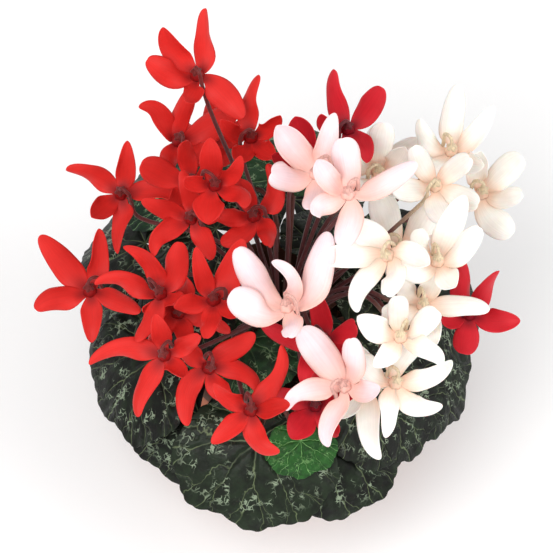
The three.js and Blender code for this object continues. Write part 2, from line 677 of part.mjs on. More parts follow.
// A stalk takes the gap between two petals, on the plant's side if it can, where its hook is
// clear, and then bends up, down or aside where it would cross a leaf or another bloom.
function flowerStalkBend(frame, obstacles) {
  const inward = new THREE.Vector3(-frame.calyx.x, -frame.calyx.y, 0).normalize();
  const gaps = [0, 1, 2, 3, 4].sort((one, other) => (
    frame.sideAt(other + 0.5).dot(inward) - frame.sideAt(one + 0.5).dot(inward)));
  const places = gaps.flatMap((gap) => GAP_SHIFTS.map((shift) => gap + shift));
  const hooks = HOOK_RADII.flatMap((radius) => HOOK_SPREADS.flatMap((spread) => (
    places.map((gap) => ({ gap, radius, spread, arch: 0, sway: 0 })))));
  const arches = ARCHES.flatMap((arch) => SWAYS.map((sway) => ({ arch, sway })));
  for (const hook of hooks) {
    if (!isClear(frame, hook, 3, 9, obstacles)) continue;
    const arch = arches.find((one) => isClear(frame, { ...hook, ...one }, 0, 4, obstacles));
    if (arch) return { ...hook, ...arch };
  }
  throw new Error('a flower stalk finds no clear way');
}

function flowerStalkBody(frame, obstacles) {
  const points = flowerStalkPoints(frame, flowerStalkBend(frame, obstacles));
  return tube(points, FLOWER_STALK_RADIUS, STALK_SIDES).add(calyxBody(frame));
}

// Points of a leaf stalk: it rises from the crown and meets the blade squarely from below.
function leafStalkPoints(frame, { arch, sway, stand }) {
  const root = crownPoint(frame.base, LEAF_CROWN_RADIUS);
  const normal = bladeNormal(frame, STALK_SEAT, 0);
  const midway = bladeReach(0) * frame.size / 2;
  const end = bladePoint(frame, 0, 0).lerp(bladePoint(frame, midway, 0), STALK_SEAT / midway)
    .addScaledVector(normal, -BLADE_THICKNESS / 2 - 1.4 * SEAT_GAP);
  const outward = new THREE.Vector3(frame.base.x, frame.base.y, 0).normalize();
  const below = end.clone()
    .addScaledVector(normal, -stand)
    .addScaledVector(outward, -LEAF_STALK_LEAN);
  const knee = root.clone().lerp(below, 0.5);
  knee.z = Math.max(knee.z + LEAF_KNEE_RISE, POT_HEIGHT + LEAF_KNEE_CLEARANCE) + arch;
  knee.addScaledVector(new THREE.Vector3().crossVectors(UPRIGHT, outward), sway);
  return [root, knee, below, end];
}

// A leaf stalk too bends up or aside where it would cross another leaf.
function leafStalkBody(frame, obstacles) {
  const bends = LEAF_STANDS.flatMap((stand) => LEAF_ARCHES.flatMap((arch) => (
    LEAF_SWAYS.map((sway) => ({ arch, sway, stand })))));
  const bend = bends.find((one) => !crosses(
    tube(leafStalkPoints(frame, one), LEAF_STALK_RADIUS + SEAT_GAP / 2, STALK_SIDES), obstacles));
  if (!bend) throw new Error('a leaf stalk finds no clear way');
  return tube(leafStalkPoints(frame, bend), LEAF_STALK_RADIUS, STALK_SIDES);
}

const blooms = placeBlooms();
const leaves = placeLeaves();

function plantBody() {
  const obstacles = [...blooms, ...leaves].map((piece) => piece.body);
  let plant = tuberBody(0);
  for (const bloom of blooms) plant = plant.add(flowerStalkBody(bloom.frame, obstacles));
  for (const leaf of leaves) plant = plant.add(leafStalkBody(leaf.frame, obstacles));
  return plant;
}

const group = new THREE.Group();
group.add(named('pot', potBody(), finish('clay')));
group.add(named('soil', soilBody(), finish('soil')));
group.add(named('tuber_and_stalks', plantBody(), finish('stalk')));
leaves.forEach((leaf, i) => {
  group.add(named(`leaf_${String(i + 1).padStart(2, '0')}`, leaf.body, finish('leaf')));
});
blooms.forEach((bloom, i) => {
  const number = String(i + 1).padStart(2, '0');
  group.add(named(`bloom_${number}_${bloom.colour}`, bloom.body, finish(bloom.colour)));
});

export default group;
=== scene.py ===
import math
import random

import bmesh
import bpy
from mathutils import Matrix, Vector, noise
from mathutils.geometry import intersect_point_line
from mathutils.kdtree import KDTree


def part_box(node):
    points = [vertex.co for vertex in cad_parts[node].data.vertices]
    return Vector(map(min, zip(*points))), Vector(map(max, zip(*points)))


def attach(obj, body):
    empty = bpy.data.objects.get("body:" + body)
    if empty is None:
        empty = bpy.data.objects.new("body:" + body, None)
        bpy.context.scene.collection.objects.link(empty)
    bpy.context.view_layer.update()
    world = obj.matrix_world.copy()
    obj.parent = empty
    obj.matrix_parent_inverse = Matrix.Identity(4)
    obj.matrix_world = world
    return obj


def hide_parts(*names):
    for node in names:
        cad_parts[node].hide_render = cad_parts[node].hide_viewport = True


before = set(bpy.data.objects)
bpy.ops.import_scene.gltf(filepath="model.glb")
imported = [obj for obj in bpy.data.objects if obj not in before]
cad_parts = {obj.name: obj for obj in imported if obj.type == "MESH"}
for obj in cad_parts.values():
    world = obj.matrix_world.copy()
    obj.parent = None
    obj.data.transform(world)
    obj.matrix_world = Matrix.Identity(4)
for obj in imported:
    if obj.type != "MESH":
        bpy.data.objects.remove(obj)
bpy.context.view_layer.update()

# Potted cyclamen: the finished look of the plant, its soil and its clay pot.
# Shapes are worked out in millimetres in the part's own frame and become metres in piece().

MM = 0.001

# Pot and soil
POT_HEIGHT = 130
POT_TOP_RADIUS = 74
POT_FOOT_RADIUS = 54
POT_WALL = 5
POT_FLOOR = 7
RIM_BAND_HEIGHT = 24
RIM_BAND_PROUD = 4
POT_NECK_RADIUS = POT_TOP_RADIUS - RIM_BAND_PROUD
POT_MOUTH_RADIUS = POT_NECK_RADIUS - POT_WALL
DRAIN_HOLES = 4
DRAIN_RADIUS = 5
DRAIN_RING_RADIUS = 28
SOIL_TOP = 116
SOIL_CROWN = 3
SOIL_RINGS = 16
CRUMBS = 260
CRUMBS_PER_GRIT = 9

# Tuber and stalks. The flower stalks rise through a chimney in the middle of the leaves. Under
# its bloom a stalk lies so far back along the bloom's axis, down, and towards the middle.
TUBER_RADIUS = 25
TUBER_FLATNESS = 0.62
TUBER_CENTRE = SOIL_TOP + 2
SEAT_GAP = 0.3
FLOWER_STALK_RADIUS = 1.3
LEAF_STALK_RADIUS = 1.5
CHIMNEY_TOP = 196
CHIMNEY_FOOT = 162
CHIMNEY_SHARE = 0.2
CHIMNEY_TAPER = 0.8
CROWN_SHARE = 0.13
KNEE_SHARE = 0.45
KNEE_RISE = 0.1
UNDER_BLOOM = (16, 14, 6)
LEAF_CROWN_RADIUS = 18
LEAF_KNEE_RISE = 4
LEAF_KNEE_CLEARANCE = 8
LEAF_STALK_LEAN = 3
STALK_SEAT = 4
FLOWER_STALK_TAPER = (1.75, 1.1)
FLOWER_STALK_STEPS = 6
LEAF_STALK_TAPER = (2.0, 1.5)
LEAF_STALK_STEPS = 8
RUN_PULL = 0.36
HOOK_COLOUR_FADE = (55, 10)
FOOT_COLOUR_FADE = (SOIL_TOP + 70, SOIL_TOP)

# Ways that the CAD part tries for a stalk, in its order
HOOK_RADII = [4.1, 3.6, 4.8, 5.6]
HOOK_SPREADS = [1, 0.6, 1.5, 2]
GAP_SHIFTS = [0, 0.1, -0.1, 0.2, -0.2]
ARCHES = [0, 10, -10, 20, -20, 32]
SWAYS = [0, 10, -10, 20, -20, 32, -32]
LEAF_STANDS = [5, 9, 14]
LEAF_ARCHES = [0, 6, 12, 18, 26, 34]
LEAF_SWAYS = [0, 8, -8, 16, -16, 24, -24, 34, -34]

# Blooms. Shares are of a petal's length, which runs from its root in the throat to its tip.
PETALS = 5
CAD_PETAL_THICKNESS = 0.8
CAD_STATIONS = [0, 0.2, 0.5, 0.82, 1]
NARROWEST_PETAL = 16
THROAT_LENGTH = 7.5
THROAT_RADIUS = 5.2
HOOK_HEIGHT = 4.6
AXIS_UPRIGHTNESS = 30
ROOT_DEPTH = 1.2
ROOT_SHARE = 0.62
CLAW_REACH = 0.24
CLAW_DROP = 0.06
CLAW_BOW = 0.4
RISE_SHARE = 0.55
RISE_BOW = 1.3
TURN_START = 0.1
TURN_END = 0.7
PETAL_THICKNESS = 0.55
PETAL_COLUMNS = 12
PETAL_ROWS = 26
STALK_CLEARANCE = 1.9
STALK_REACH = 45
CUPPED = (0.1, 0.55)
CURLED = (0.55, 1.1)
RIPPLES = 1.6
THROAT = [[0, -0.4], [1.6, -0.2], [2.9, -0.9], [3.6, -2.6], [4.1, -4.6], [4.3, -6.6]]
THROAT_LOBE = 0.09
CALYX = [[0.9, 3.4], [1.9, 2.0], [3.0, 0.9], [4.2, -0.6], [4.0, -0.9], [2.4, 0.25], [0, 0.3]]
SEPAL_GAP = 0.34

# Leaf blades
CAD_BLADE_THICKNESS = 0.9
BLADE_LENGTH = 50
BLADE_NARROWING = 22
BLADE_SHOULDER = 9
BLADE_BACK = 6
BLADE_TIP = 4
BLADE_TIP_ANGLE = 0.22
BLADE_FOLD = 0.0035
CAD_SPOKES = 16
BLADE_ARC = 2 * (math.pi - math.radians(15))
BLADE_TEETH = 8
TOOTH_DEPTH = 0.03
BLADE_WAVES = 5
WAVE_HEIGHT = 2.2
BLADE_THICKNESS = 0.6
LEAF_AGES = {2: "half_grown_leaf", 5: "half_grown_leaf", 18: "half_grown_leaf", 20: "young_leaf"}
LEAF_COLUMNS = 204
LEAF_ROWS = 14
FINE_TEETH = 34
FINE_TOOTH_DEPTH = 0.022
PUCKER = 0.8
MAIN_VEIN_SPACING = math.radians(45)
VEIN_FORKS = [(22, 0.38), (38, 0.3)]

# Millimetres of a blade that its UV map spans, and where in the map its base lies
BLADE_SPAN = 130
BLADE_BASE = (0.35, 0.5)

# Studio: each softbox has its place and size in metres, and its watts. The camera's distance and
# the width that it sees are in metres, and the picture's centre and depth in millimetres.
WORLD_STRENGTH = 0.6
SOFTBOXES = [
    ("key", (-0.8, -1.4, 2.2), 1.8, 43),
    ("fill", (1.8, -0.8, 1.4), 2.0, 26),
]
CAMERA_DISTANCE = 4.0
FIELD_WIDTH = 0.376
PICTURE_CENTRE = (-4, 109)
PLANT_DEPTH = 200
LIGHT_AIM_HEIGHT = 0.22
FLOOR_REACH = 6.0

# The plant is laid out as it is seen from the front and above, at this height of eye.
VIEW_ELEVATION = math.radians(55)
VIEW_RIGHT = Vector((1, 0, 0))
VIEW_UP = Vector((0, math.sin(VIEW_ELEVATION), math.cos(VIEW_ELEVATION)))
VIEW_OUT = Vector((0, -math.cos(VIEW_ELEVATION), math.sin(VIEW_ELEVATION)))
UPRIGHT = Vector((0, 0, 1))

# Each bloom: its colour, then right, up and height of its calyx, then its five petals. A petal
# gives its tip's right, up and out from the calyx, the breadth that shows, and its bow if any.
BLOOMS = [
    ["scarlet", -50, 203, 236,
     [28, 12, 16, 17], [2, 26, 20, 17], [-28, 14, 16, 17], [-16, -14, 22, 16], [16, -16, 22, 16]],
    ["white", 66, 188, 238,
     [26, 14, 16, 18], [-4, 26, 20, 17], [-28, 10, 16, 17], [-14, -16, 22, 16], [18, -16, 22, 16]],
    ["scarlet", -58, 247, 345,
     [8, 40, 8, 12, 3], [-22, 30, 14, 20, 5], [-29, 5, 20, 23],
     [-8, -24, 24, 16], [30, -30, 8, 24]],
    ["scarlet", -70, 204, 286,
     [8, 30, 18, 18], [-26, 20, 12, 17, -11], [-6, -22, 20, 14],
     [26, -9, 20, 16], [38, 18, 10, 26]],
    ["scarlet", -21, 205, 318,
     [3, 39, 8, 11, 3], [-18, 6, 26, 16], [-8, -22, 24, 18], [18, -16, 24, 17], [20, 13, 24, 15]],
    ["crimson", 44, 211, 320,
     [-11, 36, 8, 12, 4], [-18, 4, 24, 12], [-8, -20, 26, 15], [13, -23, 18, 14], [22, 24, 12, 20]],
    ["white", 115, 197, 285,
     [4, 40, 8, 22], [-23, 16, 20, 14, 3], [-14, -18, 26, 22], [18, -13, 26, 20], [27, 26, 12, 16]],
    ["white", 65, 182, 292,
     [3, 28, 16, 24], [-20, 8, 22, 16], [-12, -20, 24, 18], [12, -20, 24, 18], [18, 15, 22, 22]],
    ["scarlet", -110, 167, 268,
     [5, 31, 12, 17], [-35, 13, 10, 12, -4], [-20, -19, 20, 19],
     [-4, -41, 4, 11], [43, -14, 4, 13, 9]],
    ["scarlet", -63, 175, 280,
     [-4, 26, 22, 15], [-31, 9, 14, 26], [-12, -18, 24, 16], [12, -20, 22, 15], [19, 9, 24, 14]],
    ["scarlet", -45, 172, 326,
     [-3, 26, 18, 21], [-21, 5, 24, 15], [-5, -26, 14, 30], [20, -16, 22, 13, 7], [17, 13, 26, 14]],
    ["crimson", 17, 186, 314,
     [-9, 31, 12, 24], [-26, 4, 18, 16], [-10, -20, 22, 15], [13, -21, 20, 14], [21, 10, 20, 14]],
    ["white", 137, 168, 262,
     [-2, 28, 20, 20], [-28, -4, 20, 19], [18, -30, 10, 25], [23, -3, 22, 16], [26, 24, 12, 22]],
    ["white", 103, 172, 298,
     [-15, 22, 20, 20], [-27, -4, 20, 20], [5, -24, 20, 20], [24, -13, 20, 20], [20, 15, 22, 20]],
    ["pink", 22, 180, 338,
     [13, 35, 8, 15, 4], [-27, 30, 12, 25], [-27, -3, 18, 27],
     [-3, -24, 24, 16], [22, -12, 22, 15]],
    ["pink", 43, 166, 350,
     [-3, 32, 12, 26], [-21, 21, 16, 18], [-22, -18, 16, 14, -6],
     [-4, -36, 10, 19], [46, 18, 6, 16]],
    ["scarlet", -62, 150, 298,
     [-4, 26, 20, 16], [-30, 8, 18, 14], [-23, -26, 10, 15, -10],
     [16, -30, 10, 15], [23, 4, 22, 14]],
    ["scarlet", -20, 152, 292,
     [12, 32, 8, 15, -8], [-9, 24, 22, 14], [-24, -3, 24, 14],
     [-22, -21, 12, 16], [12, -20, 22, 12]],
    ["white", 80, 131, 272,
     [-15, 35, 10, 26], [-28, 14, 16, 16, 5], [-4, -24, 22, 16], [26, 3, 22, 17], [24, 31, 10, 25]],
    ["white", 104, 122, 290,
     [-14, 20, 26, 16], [-24, -8, 20, 20], [12, -21, 20, 21], [26, 18, 12, 22], [18, 42, 4, 21]],
    ["scarlet", -131, 102, 240,
     [6, 40, 8, 14], [-33, 35, 8, 23], [-34, -14, 12, 20, -5], [2, -36, 8, 17], [34, -15, 12, 14]],
    ["scarlet", -83, 100, 270,
     [14, 30, 14, 21], [-22, 27, 14, 13, -9], [-40, 3, 10, 13, -10],
     [-15, -33, 10, 14], [16, -9, 28, 13]],
    ["scarlet", -46, 96, 272,
     [19, 37, 6, 22], [-11, 30, 16, 16], [-26, -4, 22, 14], [-5, -24, 22, 15], [21, -13, 22, 17]],
    ["scarlet", -70, 86, 250,
     [8, 22, 24, 14], [-26, 4, 20, 13], [-18, -20, 20, 13], [6, -24, 20, 14], [33, -15, 10, 12]],
    ["white", 68, 124, 308,
     [-24, 18, 12, 25], [-45, -3, 2, 20], [-18, -39, 6, 16, -9],
     [2, -24, 24, 18], [31, -8, 16, 21]],
    ["white", 95, 92, 262,
     [10, 27, 16, 21], [-20, 17, 18, 14], [-25, -8, 18, 20], [6, -26, 18, 20], [43, -5, 8, 15, 4]],
    ["crimson", 127, 86, 228,
     [18, 28, 10, 11], [-6, 32, 12, 17], [-22, -7, 20, 17], [-5, -30, 12, 20], [32, -7, 8, 19]],
    ["pink", 2, 92, 290,
     [-6, 27, 22, 13, -6], [-31, 34, 8, 26], [-36, 5, 10, 27], [2, -18, 28, 14], [28, 46, 0, 24]],
    ["crimson", 28, 68, 255,
     [-7, 32, 12, 17], [-41, 10, 4, 16, 4], [-12, -32, 10, 16, -5],
     [18, -16, 20, 14], [22, 10, 20, 15]],
    ["white", 79, 71, 256,
     [-2, 26, 22, 18], [-27, 10, 14, 24], [-16, -20, 18, 16],
     [28, -22, 8, 15, 8], [22, 14, 16, 20]],
    ["scarlet", -80, 58, 252,
     [-4, 24, 18, 18], [-48, -8, 2, 13, -8], [-18, -41, 6, 15, -4],
     [14, -18, 22, 14], [22, 8, 20, 14]],
    ["scarlet", -48, 49, 243,
     [29, 23, 8, 16, -5], [-20, 15, 14, 17], [-15, -39, 6, 15, -4],
     [16, -27, 12, 14], [33, -17, 6, 13, 8]],
    ["white", 55, 36, 199,
     [-4, 24, 24, 15], [-22, 8, 22, 15], [-14, -20, 22, 15], [11, -50, 2, 17, -8], [22, 2, 24, 14]],
    ["crimson", 22, 24, 214,
     [4, 24, 20, 15], [-28, 6, 14, 15], [-15, -22, 12, 27], [14, -20, 20, 14], [24, 6, 18, 14]],
    ["scarlet", -21, 22, 232,
     [21, 41, 4, 13, -11], [-24, 14, 20, 14], [-25, -23, 10, 16],
     [18, -31, 8, 14, -8], [24, 2, 22, 14]],
    ["pink", 40, 38, 246,
     [6, 26, 20, 20], [-28, 37, 4, 24], [-39, -18, 2, 13, -9],
     [-12, -42, 2, 12, -4], [22, -3, 24, 17]],
    ["white", 77, 40, 228,
     [13, 32, 10, 23], [-28, 15, 14, 22], [-6, -38, 6, 14],
     [30, -16, 8, 15, -8], [37, 14, 6, 16, -6]],
]

# Each leaf: compass direction, distance and height of its blade's base, its size, the slope at
# its base, the slope that it gains over its length, and its turn away from the plant's middle.
LEAVES = [
    [10, 76, 198, 0.9, 6, 32, 4],
    [84, 76, 212, 0.85, 4, 26, -8],
    [140, 60, 192, 0.85, 6, 32, 10],
    [200, 60, 192, 0.85, 10, 34, -6],
    [246, 58, 190, 0.8, 8, 34, -4],
    [318, 60, 188, 0.85, 10, 32, -10],
    [181, 100, 139, 1.0, 30, 38, 0],
    [234, 97, 137, 1.0, 34, 34, 6],
    [286, 106, 137, 1.05, 36, 34, -4],
    [338, 98, 139, 1.0, 30, 34, 0],
    [30, 98, 141, 1.0, 22, 34, 4],
    [86, 98, 145, 1.0, 10, 30, 0],
    [156, 104, 170, 1.05, 18, 34, -4],
    [208, 102, 158, 1.05, 30, 36, -4],
    [261, 112, 150, 1.15, 36, 32, 0],
    [313, 98, 156, 1.0, 30, 36, 2],
    [2, 100, 154, 0.9, 24, 34, -6],
    [130, 96, 196, 1.0, 12, 32, 4],
    [58, 56, 160, 0.75, 6, 26, 0],
    [276, 118, 163, 0.5, 44, 24, 2],
]


def clamp(value, low=0.0, high=1.0):
    return max(low, min(high, value))


def smooth_step(low, high, value):
    x = clamp((value - low) / (high - low))
    return x * x * (3 - 2 * x)


def linear(hex_colour):
    """An sRGB hex colour as the linear colour that a socket takes."""
    parts = [int(hex_colour[i:i + 2], 16) / 255 for i in (1, 3, 5)]
    return [c / 12.92 if c <= 0.04045 else ((c + 0.055) / 1.055) ** 2.4 for c in parts] + [1]


# Materials

# The setting that says what a kind of node does
MODES = {"Math": "operation", "VectorMath": "operation", "MapRange": "interpolation_type",
         "Mix": "data_type", "TexVoronoi": "feature", "TexNoise": "noise_dimensions",
         "UVMap": "uv_map", "Attribute": "attribute_name"}


def add(tree, kind, mode=None, inputs=None, output=None):
    """Adds one node and gives the output named, or else its first one in use. Inputs go by name,
    or in the node's own order, and each takes a constant or the output that feeds it. A Map
    Range's are the value, the range that it comes from and the range that it goes to. A Mix's
    inputs 0, 6 and 7 are the share of the second colour, and the two colours."""
    node = tree.nodes.new("ShaderNode" + kind)
    if mode:
        setattr(node, MODES[kind], mode)
    if isinstance(inputs, tuple):
        inputs = dict(enumerate(inputs))
    for name, value in (inputs or {}).items():
        if isinstance(value, bpy.types.NodeSocket):
            tree.links.new(value, node.inputs[name])
        else:
            node.inputs[name].default_value = value
    if output:
        return node.outputs[output]
    return next((socket for socket in node.outputs if socket.enabled), None)


def start_material(name, roughness, **sockets):
    """A material with its shader, whose even qualities are set on the sockets."""
    material = bpy.data.materials.new(name)
    material.use_nodes = True
    tree = material.node_tree
    tree.nodes.clear()
    surface = add(tree, "BsdfPrincipled", inputs={"Roughness": roughness})
    for socket, value in sockets.items():
        surface.node.inputs[socket.replace("_", " ")].default_value = value
    add(tree, "OutputMaterial", inputs={"Surface": surface})
    return material, tree, surface.node


def finish_material(material, shader, colour, height=None, strength=0.0, depth=0.0):
    """Gives a material its colour and, where it has one, the relief of its skin."""
    tree = material.node_tree
    tree.links.new(colour, shader.inputs["Base Color"])
    if height:
        relief = add(tree, "Bump", None, {
            "Height": height, "Strength": strength, "Distance": depth})
        tree.links.new(relief, shader.inputs["Normal"])
    return material


def petal_material(name, kind):
    """Living petal: a soft skin over thin wet cells, so it scatters light and hardly shines.

    The colour deepens towards the mouth, partly the petal's own colour and partly painted shade,
    and fine veins run along the petal about 1 mm apart."""
    material, tree, shader = start_material(
        name, 0.55, Subsurface_Weight=kind["glow"], Subsurface_Scale=0.002,
        Subsurface_Radius=(1.0, 0.45, 0.35), Specular_IOR_Level=0.22)
    place = add(tree, "UVMap", "petal")
    rise = add(tree, "Attribute", "rise", output="Fac")
    seed = add(tree, "Attribute", "seed", output="Fac")
    skin = add(tree, "TexCoord", output="Object")
    # Painted shade: the darker colour, partly the petal's own, darkens each petal towards the mouth
    # and fills the throat cup.
    deep_and_shade_mask = add(tree, "MapRange", "SMOOTHSTEP", (rise, kind["reach"], 0.0))
    body = add(tree, "Mix", "RGBA", {0: deep_and_shade_mask, 6: linear(kind["face"]), 7: linear(kind["deep_and_shade"])})
    drawn = add(tree, "Mapping", None, {"Vector": place, "Scale": (22, 1.6, 1)})
    veins = add(tree, "TexNoise", "4D", {
        "Vector": drawn, "W": seed, "Scale": 1.0, "Detail": 2.0, "Roughness": 0.5})
    mottle = add(tree, "TexNoise", None, {"Vector": skin, "Scale": 90.0, "Detail": 3.0})
    shade, cloud = (add(tree, "MapRange", None, (tone, 0.3, 0.7, darkest, 1.03))
                    for tone, darkest in ((veins, 0.93), (mottle, 0.94)))
    both = add(tree, "Math", "MULTIPLY", (shade, cloud))
    colour = add(tree, "VectorMath", "SCALE", {0: body, "Scale": both})
    return finish_material(material, shader, colour, veins, 0.25, 0.0004)


def leaf_material(name, dark, green, silver, ribs, marbling):
    """Leathery upper skin, quilted between sunken veins, with a low wax shine. Dull veins leave
    the stalk and fork twice; silver squiggles and blotches lie in patches between them.

    The pattern is drawn on the flat blade, in millimetres from its stalk."""
    material, tree, shader = start_material(name, 0.45, Specular_IOR_Level=0.2)
    place = add(tree, "UVMap", "blade")
    flat = add(tree, "VectorMath", "MULTIPLY_ADD", {
        0: place, 1: (BLADE_SPAN, BLADE_SPAN, 0),
        2: (-BLADE_BASE[0] * BLADE_SPAN, -BLADE_BASE[1] * BLADE_SPAN, 0)})
    seed = add(tree, "Attribute", "seed", output="Fac")
    lift = add(tree, "CombineXYZ", None, {"Z": seed})
    own = add(tree, "VectorMath", "ADD", (flat, lift))
    drift = add(tree, "TexNoise", None, {"Vector": own, "Scale": 0.07, "Detail": 3.0}, "Color")
    wander = add(tree, "VectorMath", "MULTIPLY_ADD", {
        0: drift, 1: (13, 13, 0), 2: (-6.5, -6.5, 0)})
    from_stalk = add(tree, "VectorMath", "LENGTH", {0: flat})
    loose = add(tree, "MapRange", None, (from_stalk, 2.0, 22.0))
    astray = add(tree, "VectorMath", "SCALE", {0: wander, "Scale": loose})
    bent = add(tree, "VectorMath", "ADD", (flat, astray))

    across = add(tree, "SeparateXYZ", None, {"Vector": bent}, "Y")
    angle = add(tree, "Math", "ARCTAN2", {0: across, 1: across.node.outputs["X"]})
    radius = add(tree, "VectorMath", "LENGTH", {0: bent})
    early = add(tree, "Math", "MULTIPLY_ADD", {0: drift.node.outputs["Fac"], 1: 34.0, 2: -17.0})
    forking = add(tree, "Math", "ADD", (radius, early))
    off = add(tree, "Math", "PINGPONG", (angle, MAIN_VEIN_SPACING / 2))
    beside = add(tree, "Math", "MULTIPLY", (off, radius))
    for fork, spread in VEIN_FORKS:
        apart = add(tree, "MapRange", None, (
            forking, fork, fork + BLADE_SPAN, 0.0, spread * BLADE_SPAN))
        beside = add(tree, "Math", "SUBTRACT", (beside, apart))
        beside = add(tree, "Math", "ABSOLUTE", {0: beside})
    width = add(tree, "MapRange", None, (radius, 5.0, 50.0, 0.75, 0.4))
    main = add(tree, "MapRange", "SMOOTHSTEP", (beside, width, 0.1))
    faint = add(tree, "TexNoise", None, {"Vector": own, "Scale": 0.1, "Detail": 1.0})
    seen = add(tree, "MapRange", None, (faint, 0.35, 0.6, 0.25))
    vein = add(tree, "Math", "MULTIPLY", (main, seen))

    ripple = add(tree, "TexNoise", None, {"Vector": own, "Scale": 0.25, "Detail": 1.0}, "Color")
    curled = add(tree, "VectorMath", "MULTIPLY_ADD", (ripple, (8, 8, 0), own))
    net = add(tree, "TexVoronoi", "DISTANCE_TO_EDGE", {"Vector": curled, "Scale": 0.26})
    patch = add(tree, "TexNoise", None, {"Vector": own, "Scale": 0.12, "Detail": 1.0})
    breadth = add(tree, "MapRange", None, (patch, 0.6, 0.75, 0.07, 0.18))
    line = add(tree, "MapRange", "SMOOTHSTEP", (net, breadth, 0.03))
    broken = add(tree, "MapRange", "SMOOTHSTEP", (patch, 0.5, 0.62))
    inner = add(tree, "MapRange", "SMOOTHSTEP", (from_stalk, 12.0, 24.0))
    outer = add(tree, "MapRange", "SMOOTHSTEP", (from_stalk, 50.0, 40.0, 0.0, marbling))
    zone = add(tree, "Math", "MULTIPLY", (inner, outer))
    patched = add(tree, "Math", "MULTIPLY", (broken, zone))
    lines = add(tree, "Math", "MULTIPLY", (line, patched))

    cloud = add(tree, "TexNoise", None, {"Vector": own, "Scale": 0.11, "Detail": 5.0})
    ground = add(tree, "MapRange", None, (cloud, 0.4, 0.65))
    shade = add(tree, "Attribute", "shade", output="Fac")
    aged = add(tree, "Math", "ADD", (ground, shade))
    aged.node.use_clamp = True
    skin = add(tree, "Mix", "RGBA", {0: aged, 6: linear(dark), 7: linear(green)})
    ribbed = add(tree, "Mix", "RGBA", {0: vein, 6: skin, 7: linear(ribs)})
    colour = add(tree, "Mix", "RGBA", {0: lines, 6: ribbed, 7: linear(silver)})
    quilt = add(tree, "MapRange", "SMOOTHSTEP", (beside, 0.0, 3.0))
    height = add(tree, "Math", "MULTIPLY_ADD", (cloud, 2.0, quilt))
    return finish_material(material, shader, colour, height, 0.8, 0.0008)


def underleaf_material():
    """Underside of a blade: matt, and clouded between dull purple and olive."""
    material, tree, shader = start_material("leaf_underside", 0.6)
    skin = add(tree, "TexCoord", output="Object")
    cloud = add(tree, "TexNoise", None, {"Vector": skin, "Scale": 60.0, "Detail": 4.0})
    colour = add(tree, "Mix", "RGBA", {0: cloud, 6: linear("#4A2B35"), 7: linear("#5C5A46")})
    return finish_material(material, shader, colour, cloud, 0.3, 0.0005)


def stalk_material():
    """Fleshy stalk under short glandular hairs: a soft sheen, and fine ribs along it."""
    material, tree, shader = start_material(
        "stalk_skin", 0.5, Sheen_Weight=0.1, Sheen_Roughness=0.5, Specular_IOR_Level=0.3)
    tint = add(tree, "Attribute", "tint", output="Color")
    skin = add(tree, "TexCoord", output="Object")
    drawn = add(tree, "Mapping", None, {"Vector": skin, "Scale": (900, 900, 120)})
    ribs = add(tree, "TexNoise", None, {"Vector": drawn, "Scale": 1.0, "Detail": 2.0})
    shade = add(tree, "MapRange", None, (ribs, 0.3, 0.7, 0.75, 1.15))
    colour = add(tree, "VectorMath", "SCALE", {0: tint, "Scale": shade})
    return finish_material(material, shader, colour, ribs, 0.3, 0.0003)


def soil_material():
    """Moist peat and bark potting mix: nearly black, crumbly, with paler bits of fibre."""
    material, tree, shader = start_material("potting_mix", 0.95, Specular_IOR_Level=0.2)
    skin = add(tree, "TexCoord", output="Object")
    crumb = add(tree, "TexVoronoi", None, {"Vector": skin, "Scale": 260.0})
    grain = add(tree, "TexNoise", None, {"Vector": skin, "Scale": 420.0, "Detail": 5.0})
    dark = add(tree, "Mix", "RGBA", {0: crumb, 6: linear("#1E1610"), 7: linear("#43301F")})
    pale = add(tree, "MapRange", None, (grain, 0.62, 0.72))
    colour = add(tree, "Mix", "RGBA", {0: pale, 6: dark, 7: linear("#7A6248")})
    return finish_material(material, shader, colour, crumb, 0.8, 0.002)


def clay_material():
    """Fired terracotta, pressed and unglazed: chalky, fine-grained, with a pale bloom of lime
    where it dries, low on the wall. The damp mix has darkened it inside, just above the soil,
    and the top of the pot is darker as painted shade from the leaves, made to look like damp clay."""
    material, tree, shader = start_material("terracotta", 0.85, Specular_IOR_Level=0.3)
    skin = add(tree, "TexCoord", output="Object")
    height = add(tree, "SeparateXYZ", None, {"Vector": skin}, "Z")
    cloud = add(tree, "TexNoise", None, {"Vector": skin, "Scale": 22.0, "Detail": 5.0})
    grain = add(tree, "TexNoise", None, {"Vector": skin, "Scale": 900.0, "Detail": 2.0})
    body = add(tree, "Mix", "RGBA", {0: cloud, 6: linear("#A9583B"), 7: linear("#C67C5B")})
    low = add(tree, "MapRange", "SMOOTHSTEP", (height, 0.075, 0.0, 0.0, 0.5))
    bloom = add(tree, "MapRange", "SMOOTHSTEP", (cloud, 0.5, 0.68))
    lime = add(tree, "Math", "MULTIPLY", (low, bloom))
    outside = add(tree, "Mix", "RGBA", {0: lime, 6: body, 7: linear("#E3D3C2")})
    across = add(tree, "VectorMath", "MULTIPLY", (skin, (1, 1, 0)))
    radius = add(tree, "VectorMath", "LENGTH", {0: across})
    inside = add(tree, "MapRange", "SMOOTHSTEP", (
        radius, (POT_MOUTH_RADIUS + POT_WALL) * MM, POT_MOUTH_RADIUS * MM))
    upper = add(tree, "MapRange", None, (height, (SOIL_TOP - 4) * MM, SOIL_TOP * MM))
    damp = add(tree, "Math", "MULTIPLY", (inside, upper))
    # Painted shade: the top of the pot darkens where the leaves hang over it, with a ragged lower
    # edge like a damp mark.
    ragged = add(tree, "Math", "MULTIPLY_ADD", (cloud, 0.02, height))
    brim_shade = add(tree, "MapRange", "SMOOTHSTEP", (
        ragged, (POT_HEIGHT - 36) * MM, (POT_HEIGHT - 8) * MM))
    # The damp mark at the soil line and the painted shade at the top share one dark clay colour.
    damp_and_shade = add(tree, "Math", "MAXIMUM", (damp, brim_shade))
    colour = add(tree, "Mix", "RGBA", {0: damp_and_shade, 6: outside, 7: linear("#5E3B2C")})
    return finish_material(material, shader, colour, grain, 0.35, 0.0006)


